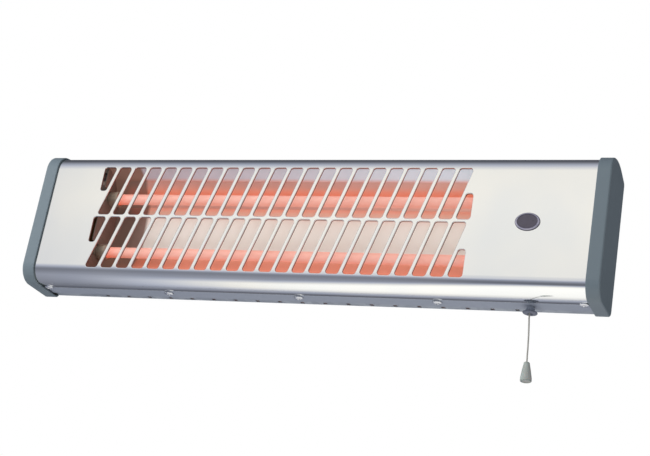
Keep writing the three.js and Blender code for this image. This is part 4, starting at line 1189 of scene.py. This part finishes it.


# %% [markdown]
# ## Polished sheet
#
# The cover is bright sheet that mirrors the room. Fine lines along its length and faint
# cloudy patches soften it, as on most rolled sheet. The lines come from noise squeezed hard
# across the heater; the clouds from slow noise. Both only change the roughness and the
# colour by a few hundredths.
#
# Two masks are there to match the photograph, and their cause isn't known. The turned-in
# edges of the slots are painted a dull reddish brown: painted shade with a painted
# reflection of the tubes' glow. The turned-in edges of the slots look brownish, which may be
# heat colour or the tubes' light on them. The lip below is painted an even bluish grey, as
# duller metal, where a mirror would show something: a painted reflection. A mask is a
# product of limits along X, Y and Z, each a pair of places in metres between which it rises
# or falls.

# %% Finish of the cover
BEHIND_FRONT_Y = (-0.0593, -0.0588)
SLOT_ENDS_Z = (0.0574, 0.0576)
SLOTS_LEFT_X = (-0.236, -0.234)
SLOTS_RIGHT_X = (0.174, 0.176)
LIP_Z = (-0.0650, -0.0655)
LIP_Y = (-0.0315, -0.0300)

steel = Finish("polished_steel")
lines = steel.noise(40, 4, 0.6, stretch=(0.6, 60, 60))
clouds = steel.noise(9, 3, 0.5)
smudge = steel.noise(30, 5, 0.65)
face = steel.mix(steel.rises(clouds, (0.35, 0.65)), rgb(228, 231, 231), rgb(238, 238, 233))
across, depth, height = steel.split(steel.place())
slot_edge = (
    steel.rises(depth, BEHIND_FRONT_Y)
    * steel.falls(steel.size_of(height), SLOT_ENDS_Z)
    * steel.falls(across, SLOTS_RIGHT_X)
    * steel.rises(across, SLOTS_LEFT_X)
)
# Painted shade and a painted reflection of the tubes' glow: the slot edges' dull reddish brown.
edge_painted_glow = steel.mix(steel.noise(300, 3, 0.6), rgb(120, 84, 76), rgb(164, 120, 110))
lip_band = steel.rises(height, LIP_Z) * steel.rises(depth, LIP_Y)
# Painted reflection: the lip's even bluish grey stands where a mirror would show something.
lip_painted_reflection = steel.mix(clouds, rgb(148, 155, 169), rgb(164, 170, 183))
steel.set("Base Color", steel.mix(lip_band, steel.mix(slot_edge, face, edge_painted_glow), lip_painted_reflection))
steel.set("Metallic", 1.0 - 0.6 * slot_edge - 0.75 * lip_band)
polish = 0.055 + 0.05 * lines + 0.05 * steel.rises(smudge, (0.5, 0.75))
steel.set("Roughness", polish + 0.45 * slot_edge + 0.4 * lip_band)
steel.bump(steel.noise(14, 1, 0.4), 0.05, 0.0004)
steel.dress(cover)

# %% [markdown]
# ## Blue-grey plastic
#
# The caps have the soft satin look of a moulding with a fine grain. Tiny pits from fine
# noise carry that in the bump; slow noise shifts the grey a little. The flange round the cord
# gets the same kind of finish in a darker shade. Its collar is painted a paler one: painted
# light that lifts the shade above the flange.

# %% Finish of the caps and of the cord's guide
cap_plastic = Finish("cap_plastic", Specular_IOR_Level=0.45)
flow = cap_plastic.noise(12, 3, 0.55)
grain = cap_plastic.noise(2600, 3, 0.6)
cap_plastic.set("Base Color", cap_plastic.mix(flow, rgb(106, 119, 127), rgb(116, 129, 136)))
cap_plastic.set("Roughness", 0.36 + 0.12 * grain)
cap_plastic.bump(grain, 0.12, 0.00012)
cap_plastic.dress(*end_caps.values())

COLLAR_Z = (-0.0731, -0.0729)
guide_plastic = Finish("guide_plastic", Specular_IOR_Level=0.5)
grain = guide_plastic.noise(2600, 3, 0.6)
across, depth, height = guide_plastic.split(guide_plastic.place())
# Painted light: the collar is paler than the flange, to lift the shade that falls on it.
collar = guide_plastic.rises(height, COLLAR_Z)
tone = guide_plastic.mix(guide_plastic.noise(60), rgb(96, 101, 119), rgb(110, 115, 133))
guide_plastic.set("Base Color", guide_plastic.mix(collar, tone, rgb(140, 147, 161)))
guide_plastic.set("Roughness", 0.34 + 0.12 * grain)
guide_plastic.bump(grain, 0.12, 0.0001)
guide_plastic.dress(guide)

# %% [markdown]
# ## Galvanised, plated and spring metal
#
# Of the tray only a strip with the vents shows, under the heater. Zinc-coated steel is a
# guess. Zinc sets in crystals, each with a sheen of its own, so cells of slightly different
# grey and roughness make its spangle. Screws are bright plated metal with fine marks.
#
# The tray's inner side is painted browner and gives a weak light of its own. No tray does that.
# Both are painted light: they stand in for light that bounces about inside, without which the
# leftmost slots are black.

# %% Finish of the tray, the screws and the spring
TRAY_FACE_Y = (-0.0012, -0.0009)
TRAY_INSIDE_Z = (0.0645, 0.0650)

zinc = Finish("galvanised_steel", Metallic=0.5, Emission_Strength=1.0)
crystals = zinc.cells(140)
shade = zinc.node("ShaderNodeSeparateColor", {}, {"Color": crystals})
dirt_and_glow_mottle = zinc.noise(25, 5, 0.6)
spangle = zinc.mix(0.6 * shade + 0.4 * dirt_and_glow_mottle, rgb(138, 145, 155), rgb(176, 182, 190))
across, depth, height = zinc.split(zinc.place())
inner_side = zinc.falls(depth, TRAY_FACE_Y) * zinc.falls(zinc.size_of(height), TRAY_INSIDE_Z)
# Painted light: the inner side's brown, and its weak glow below, stand in for light bouncing
# inside.
inner_painted_warmth = zinc.mix(dirt_and_glow_mottle, rgb(120, 98, 90), rgb(150, 130, 122))
inner_light = zinc.mix(dirt_and_glow_mottle, (0.08, 0.055, 0.045, 1), (0.2, 0.16, 0.14, 1))
zinc.set("Base Color", zinc.mix(inner_side, spangle, inner_painted_warmth))
zinc.set("Emission Color", zinc.mix(inner_side, (0, 0, 0, 1), inner_light))
zinc.set("Roughness", 0.3 + 0.16 * shade + 0.08 * dirt_and_glow_mottle)
zinc.bump(shade, 0.04, 0.0001)
zinc.dress("back_plate")

plated = Finish("plated_steel", Metallic=1.0)
marks = plated.noise(1800, 3, 0.6)
plated.set("Base Color", plated.mix(marks, rgb(190, 193, 198), rgb(222, 224, 226)))
plated.set("Roughness", 0.16 + 0.12 * marks)
plated.bump(marks, 0.08, 0.00005)
small_screws = [
    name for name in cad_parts
    if "screw" in name and not name.startswith("cover_screw")
]
plated.dress(*head_objects, *small_screws)

spring_steel = Finish("spring_steel", Metallic=1.0)
marks = spring_steel.noise(900, 4, 0.7)
spring_steel.set("Base Color", spring_steel.mix(marks, rgb(120, 122, 128), rgb(168, 170, 174)))
spring_steel.set("Roughness", 0.25 + 0.2 * marks)
spring_steel.dress(spring)

# %% [markdown]
# ## The reflector and its painted reflections
#
# A bright sheet mirrors each tube as a broad band. A clean mirror gave far too little of
# it here, so most of what the slots show is painted in by place, to match the photograph:
#
# - the slopes are orange and give a weak orange light, for the tubes' mirror images
# - the back gives a weak warm light, for light that bounces about
# - the flanges are dull and get lighter to the right, for a lamp or card that they mirror
# - the left end is brown, for the mirror image of the bracket beside it
#
# This is the easy way, and it has a price. A painted reflection stays in place when the
# view moves, and it shows on both faces of the sheet. From behind, the keyholes show it.
# The brackets are browned for the same look; whether heat did that isn't known.

# %% Finish of the reflector and of the brackets
FLANGE_Z = (0.0505, 0.0530)
SLOPE_Z = (0.024, 0.030)
LEFT_END_X = (-0.1940, -0.1905)

bright = Finish("bright_aluminium", Emission_Strength=1.0)
tint = bright.noise(16, 3, 0.5)
across, depth, height = bright.split(bright.place())
flange = bright.rises(bright.size_of(height), FLANGE_Z)
back_colour = bright.mix(tint, rgb(236, 230, 222), rgb(248, 244, 238))
flange_colour = bright.mix(tint, rgb(214, 214, 228), rgb(226, 226, 238))
left_end = bright.falls(across, LEFT_END_X)
left_colour = bright.mix(bright.noise(90, 3, 0.6), rgb(116, 90, 80), rgb(136, 110, 100))
slope = bright.rises(bright.size_of(height), SLOPE_Z)
slope_colour = bright.mix(tint, rgb(226, 192, 178), rgb(238, 204, 190))
shown = bright.mix(flange, bright.mix(slope, back_colour, slope_colour), flange_colour)
bright.set("Base Color", bright.mix(left_end, shown, left_colour))
bright.set("Metallic", 0.72 - 0.62 * flange)
bright.set("Roughness", 0.27 + 0.08 * tint + 0.2 * flange)
along = bright.ranged(across, -0.21, 0.17, 0.08, 1.0)
flange_light = bright.mix(along, (0.0, 0.0, 0.0, 1), (0.24, 0.35, 0.38, 1))
trough_light = bright.mix(slope, (0.11, 0.08, 0.055, 1), (0.16, 0.035, 0.012, 1))
left_light = bright.mix(slope, (0.06, 0.038, 0.03, 1), (0.1, 0.055, 0.04, 1))
lit = bright.mix(flange, trough_light, flange_light)
bright.set("Emission Color", bright.mix(left_end, lit, left_light))
bright.dress(trough)

browned = Finish("browned_steel", Metallic=0.35)
patches = browned.noise(55, 5, 0.65)
streaks = browned.noise(40, 3, 0.6, stretch=(1, 1, 6))
blotches = 0.5 * patches + 0.5 * streaks
browned.set("Base Color", browned.mix(blotches, rgb(150, 128, 118), rgb(192, 174, 162)))
browned.set("Roughness", 0.4 + 0.2 * patches)
browned.bump(patches, 0.1, 0.0003)
browned.dress("tube_bracket_left", "tube_bracket_right", "heat_shield")

# %% [markdown]
# ## Glowing quartz
#
# The tube is milky quartz with a hot coil inside. The coil could light the tube by itself,
# but a thin cloudy wall takes many bounces to render. So the wall glows a little by itself,
# stays partly see-through, and the coil behind it glows more, which puts the brighter core
# in the middle of the tube from every side. How bright the real ones are isn't known: the
# strengths are those that look like the photograph.

# %% Finish of the tubes and coils
TUBES_LEFT_BY = 0.021
COOL_END_X = (0.178, 0.198)

quartz = Finish("glowing_quartz", Specular_IOR_Level=0.5, Emission_Strength=1.0)
milk = quartz.noise(45, 3, 0.5, stretch=(0.5, 1, 1))
across, depth, height = quartz.split(quartz.place())
from_middle = quartz.size_of(across + TUBES_LEFT_BY)
cool_end = quartz.rises(from_middle, COOL_END_X)
quartz.set("Base Color", quartz.mix(milk, rgb(240, 196, 180), rgb(250, 214, 200)))
warm = quartz.mix(milk, rgb(132, 76, 62), rgb(144, 84, 70))
quartz.set("Emission Color", quartz.mix(cool_end, warm, rgb(170, 68, 40)))
quartz.set("Alpha", 0.78 + 0.16 * milk)
quartz.set("Roughness", 0.24 + 0.12 * milk)
quartz.dress(*tubes)

hot_wire = Finish("hot_wire", Emission_Strength=0.65)
heat = hot_wire.noise(12, 2, 0.5, stretch=(1, 0, 0))
hot_wire.set("Base Color", rgb(180, 80, 50))
hot_wire.set("Emission Color", hot_wire.mix(heat, rgb(255, 150, 110), rgb(255, 190, 160)))
hot_wire.set("Roughness", 0.5 + 0.2 * heat)
hot_wire.dress(*coils)

# %% [markdown]
# ## Ceramic, brass and mouldings
#
# The photograph shows almost nothing of the small parts behind the cover, so their
# materials are the usual ones for such parts. Slots, vents and keyholes let some be seen.
# Each takes its grain from noise at the size of the real grain: pores in the ceramic, dull
# patches on the brass, a fine skin on the mouldings.

# %% Finishes of the ceramic and brass parts
ceramic = Finish("fired_ceramic", Specular_IOR_Level=0.3)
pores = ceramic.noise(700, 4, 0.7)
stain = ceramic.noise(70, 3, 0.6)
ceramic.set("Base Color", ceramic.mix(stain, rgb(150, 122, 100), rgb(214, 200, 180)))
ceramic.set("Roughness", 0.68 + 0.2 * pores)
ceramic.bump(pores, 0.2, 0.0002)
ceramic.dress(*ceramics)

brass = Finish("brass", Metallic=1.0)
dull = brass.noise(160, 4, 0.6)
brass.set("Base Color", brass.mix(dull, rgb(176, 142, 84), rgb(208, 178, 116)))
brass.set("Roughness", 0.25 + 0.25 * dull)
brass.bump(dull, 0.06, 0.0001)
brass_names = [f"terminal_stud_{a}_{b}" for a in ("upper", "lower") for b in ("left", "right")]
brass.dress(*brass_names, "link_strap", *[f"switch_terminal_{i}" for i in (1, 2, 3)])

# %% Finishes of the plain mouldings


def moulding(name, shine, skin_noise, patches, dark, pale, smooth, matt, relief):
    """A moulding: slow noise shifts its tone from dark to pale, and the fine noise of its
    skin gives the roughness, smooth + matt * skin, and the bump."""
    finish = Finish(name, Specular_IOR_Level=shine)
    skin = finish.noise(*skin_noise)
    finish.set("Base Color", finish.mix(finish.noise(patches), dark, pale))
    finish.set("Roughness", smooth + matt * skin)
    finish.bump(skin, *relief)
    return finish


black = moulding(
    "black_moulding", shine=0.4, skin_noise=(1500, 3, 0.6), patches=40,
    dark=rgb(26, 26, 29), pale=rgb(42, 42, 46), smooth=0.4, matt=0.15, relief=(0.15, 0.0001),
)
black.dress("switch_housing", "switch_lid")

nylon = moulding(
    "white_nylon", shine=0.45, skin_noise=(900, 3, 0.6), patches=50,
    dark=rgb(222, 219, 208), pale=rgb(236, 234, 226), smooth=0.42, matt=0.12, relief=(0.1, 0.0001),
)
nylon.dress("switch_plunger", "ratchet_wheel", "terminal_block")

rubber = moulding(
    "black_rubber", shine=0.3, skin_noise=(1200, 4, 0.7), patches=80,
    dark=rgb(20, 20, 21), pale=rgb(38, 38, 40), smooth=0.6, matt=0.2, relief=(0.2, 0.00015),
)
rubber.dress(bush)

# %% Finish of the wires
sleeve = Finish("woven_sleeve", Specular_IOR_Level=0.25)
weave = sleeve.noise(1400, 2, 0.5, turn=(0.6, 0.6, 0.6))
sleeve.set("Base Color", sleeve.mix(weave, rgb(168, 160, 146), rgb(216, 210, 198)))
sleeve.set("Roughness", 0.75 + 0.2 * weave)
sleeve.bump(weave, 0.35, 0.0003)
sleeve.dress(*[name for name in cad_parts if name.startswith("wire_")])

# %% [markdown]
# ## Badge, bell and cord
#
# The badge looks dark and glossy; its ring is painted paler all round, a painted highlight. The
# bell is a pale grey-green moulding.
# What the cord is made of can't be seen, so cotton is a guess: its strands already show in
# the shape, and its finish only adds the fuzz and a little grime.

# %% Finishes of the small outside parts
badge_gloss = Finish(
    "badge_gloss", Coat_Weight=0.6, Coat_Roughness=0.08, Specular_IOR_Level=0.5,
)
flecks = badge_gloss.noise(220, 3, 0.6)
from_badge = badge_gloss.node("ShaderNodeVectorMath", {"operation": "LENGTH"}, {
    0: badge_gloss.node("ShaderNodeMapping", {"vector_type": "TEXTURE"}, {
        "Vector": badge_gloss.place(),
        "Location": (float(badge_at[0]), float(badge_at[1]), float(badge_at[2])),
        "Scale": (float(badge_half[0] * MM), 1.0, float(badge_half[2] * MM)),
    }),
}, out="Value")
# Painted highlight: the paler ring round the badge's edge.
painted_highlight_ring = badge_gloss.rises(from_badge, (0.80, 0.88)) * badge_gloss.falls(from_badge, (0.93, 0.98))
dark = badge_gloss.mix(flecks, rgb(58, 52, 66), rgb(84, 78, 94))
badge_gloss.set("Base Color", badge_gloss.mix(painted_highlight_ring, dark, rgb(176, 172, 190)))
badge_gloss.set("Roughness", 0.22 + 0.14 * flecks)
badge_gloss.set("Metallic", 0.25 + 0.2 * flecks)
badge_gloss.dress(badge)

bell_plastic = Finish("bell_plastic", Specular_IOR_Level=0.5, Subsurface_Weight=0.05)
swirl = bell_plastic.noise(90, 3, 0.6)
bell_plastic.set("Base Color", bell_plastic.mix(swirl, rgb(160, 168, 163), rgb(178, 184, 179)))
bell_plastic.set("Roughness", 0.3 + 0.12 * bell_plastic.noise(1500, 2, 0.6))
bell_plastic.dress(bell)

cotton = Finish("cotton_cord", Sheen_Weight=0.3, Specular_IOR_Level=0.2)
fuzz = cotton.noise(5200, 3, 0.7)
grime = cotton.noise(260, 2, 0.5)
thread = 0.6 * grime + 0.4 * fuzz
cotton.set("Base Color", cotton.mix(thread, rgb(150, 147, 140), rgb(206, 203, 196)))
cotton.set("Roughness", 0.8 + 0.15 * fuzz)
cotton.bump(fuzz, 0.5, 0.0002)
cotton.dress(cord, "cord_stub")

# %% [markdown]
# ## The room and the light
#
# The heater is shown against plain white. A mirror needs something to mirror, so white
# surroundings alone would leave the cover flat. A photographer stands white and grey cards
# round such a piece, out of the frame. Here one tent does that: a wide cylinder round the
# heater that only reflections see. Its tone is a function of the angle round the heater
# and of the place along it, so each line and gradient on the bends has its own place.
#
# What stood round the real heater isn't known. The tones below were tuned render after
# render, until the cover's bands came near the photograph's. Nothing but the cover's
# look in this one view speaks for them.

# %% The white behind and the light all round
AMBIENT = 0.45
world = bpy.data.worlds.new("room")
bpy.context.scene.world = world
room = Network(world)
room.tree.nodes.clear()
ray_kinds = room.node("ShaderNodeLightPath").socket.node.outputs
camera_ray, glossy_ray, clear_ray = (
    Term(room, ray_kinds[f"Is {kind} Ray"]) for kind in ("Camera", "Glossy", "Transmission")
)
sees_white = room.node(
    "ShaderNodeMath", {"operation": "ADD", "use_clamp": True},
    {0: camera_ray + glossy_ray, 1: clear_ray},
)
ambient = room.node(
    "ShaderNodeBackground", {}, {"Color": (0.93, 0.96, 1.0, 1), "Strength": AMBIENT},
)
white = room.node("ShaderNodeBackground", {}, {"Color": (1, 1, 1, 1), "Strength": 1.0})
backdrop = room.node("ShaderNodeMixShader", {}, {0: sees_white, 1: ambient, 2: white})
room.node("ShaderNodeOutputWorld", {}, {"Surface": backdrop})
print("room nodes:", len(room.tree.nodes))

# %% Lamps and floor


def lamp(name, place, target, size, power):
    """A soft square lamp that points at a target; power is in watts."""
    data = bpy.data.lights.new(name, "AREA")
    data.size = size
    data.energy = power
    obj = put(name, data)
    obj.location = place
    look = Vector(target) - Vector(place)
    obj.rotation_euler = look.to_track_quat("-Z", "Y").to_euler()
    obj.visible_glossy = False


lamp("key_lamp", (-1.0, -1.15, 0.55), target=(-0.1, 0, 0), size=0.9, power=16)
lamp("fill_lamp", (-1.1, -1.2, -1.0), target=(-0.2, 0, 0), size=1.2, power=6)
lamp("back_lamp", (-1.2, 1.6, 0.9), target=(0, 0, 0), size=1.2, power=10)

FLOOR_Z = -1.3
FLOOR_REACH = 6
floor_square = np.array([(-1, -1, 0), (1, -1, 0), (1, 1, 0), (-1, 1, 0)])
floor_corners = FLOOR_REACH * floor_square + [0, 0, FLOOR_Z]
floor_mesh = bpy.data.meshes.new("floor")
floor_mesh.from_pydata(floor_corners.tolist(), [], [(0, 1, 2, 3)])
floor = put("floor", floor_mesh)
pale = Finish("pale_floor", Roughness=0.9)
pale.set("Base Color", pale.mix(pale.noise(1.2), rgb(236, 237, 238), rgb(242, 242, 242)))
pale.dress(floor)

# %% Tones of the tent
TENT_RADIUS = 1.2
TENT_REACH = 2.2
TONE_AT = np.array([
    (-125, 0.13), (-100, 0.11), (-85, 0.24), (-65, 0.5), (-46, 0.76), (-24, 1.0), (-15, 0.92),
    (3, 0.55), (12, 0.36), (21, 0.26), (30, 0.28), (60, 0.42), (150, 0.29), (157, 0.31),
    (172, 0.1), (200, 0.08),
])
LOW_LIGHT = 0.82
LOW_LIGHT_DIMS = 0.4
FRONT_GLOW = 0.2
DARK_LINE = 0.1
LEFT_END_TONE = 0.87


def tent_tone(down, x):
    """Brightness of the tent. down is the angle below the front's horizon, in degrees. The
    tones in TONE_AT are joined by straight lines. A low light is added, which grows towards
    the right while its front edge comes forward, then a glow in front at 3 degrees. A dark
    line at 29 degrees is taken away, and the left end is dimmed."""
    tone = np.interp(down, TONE_AT[:, 0], TONE_AT[:, 1]) + 0 * x
    near = smooth_step(x, -0.98, -0.40)
    front_edge = np.interp(x, [-0.5, -0.27, -0.06], [70, 58, 42])
    soft = np.interp(x, [-0.27, -0.06], [19, 10])
    light = LOW_LIGHT * near * smooth_step(down, front_edge - soft, front_edge + soft)
    light = light * (1 - LOW_LIGHT_DIMS * smooth_step(down, 110, 150))
    light = light * (1 - smooth_step(down, 151, 170))
    front = FRONT_GLOW * near * np.exp(-(((down - 3) / 9) ** 2))
    line = DARK_LINE * smooth_step(x, -0.3, -0.05) * np.exp(-(((down - 29) / 7) ** 2))
    return (tone + light + front - line) * np.interp(x, [-1.0, -0.82], [LEFT_END_TONE, 1.0])


def tent_colour(tone):
    """Dark parts of the tent are a little blue, bright parts are white."""
    share = smooth_step(tone, 0.45, 1.0)[..., None]
    return tone[..., None] * ((1 - share) * [0.89, 0.94, 1.16] + share * [1.02, 1.0, 0.98])


# %% Stand the tent round the heater
down = np.linspace(-160, 200, 181)
tent_x = np.linspace(-TENT_REACH, TENT_REACH, 89)
turn = np.radians(down)[:, None]
tent_points = np.stack(np.broadcast_arrays(
    tent_x[None], -TENT_RADIUS * np.cos(turn), -TENT_RADIUS * np.sin(turn),
), -1)
tent_mesh = bpy.data.meshes.new("tent")
tent_mesh.from_pydata(
    tent_points.reshape(-1, 3).tolist(), [], grid_quads(*tent_points.shape[:2]).tolist(),
)
colours = tent_colour(tent_tone(down[:, None], tent_x[None])).reshape(-1, 3)
layer = tent_mesh.color_attributes.new("tone", "FLOAT_COLOR", "POINT")
opaque = np.ones((len(colours), 1))
layer.data.foreach_set("color", np.hstack([colours, opaque]).astype(np.float32).ravel())
tent = put("tent", tent_mesh)
tent.visible_camera = False
tent.visible_diffuse = False
tent.visible_shadow = False
tent.visible_transmission = False

cloth = bpy.data.materials.new("tent_cloth")
painted = Network(cloth)
painted.tree.nodes.clear()
tone = painted.node("ShaderNodeAttribute", {"attribute_name": "tone"}, out="Color")
glow = painted.node("ShaderNodeEmission", {}, {"Color": tone})
painted.node("ShaderNodeOutputMaterial", {}, {"Surface": glow})
tent_mesh.materials.append(cloth)
print("tent tones", round(float(colours.min()), 2), "to", round(float(colours.max()), 2))
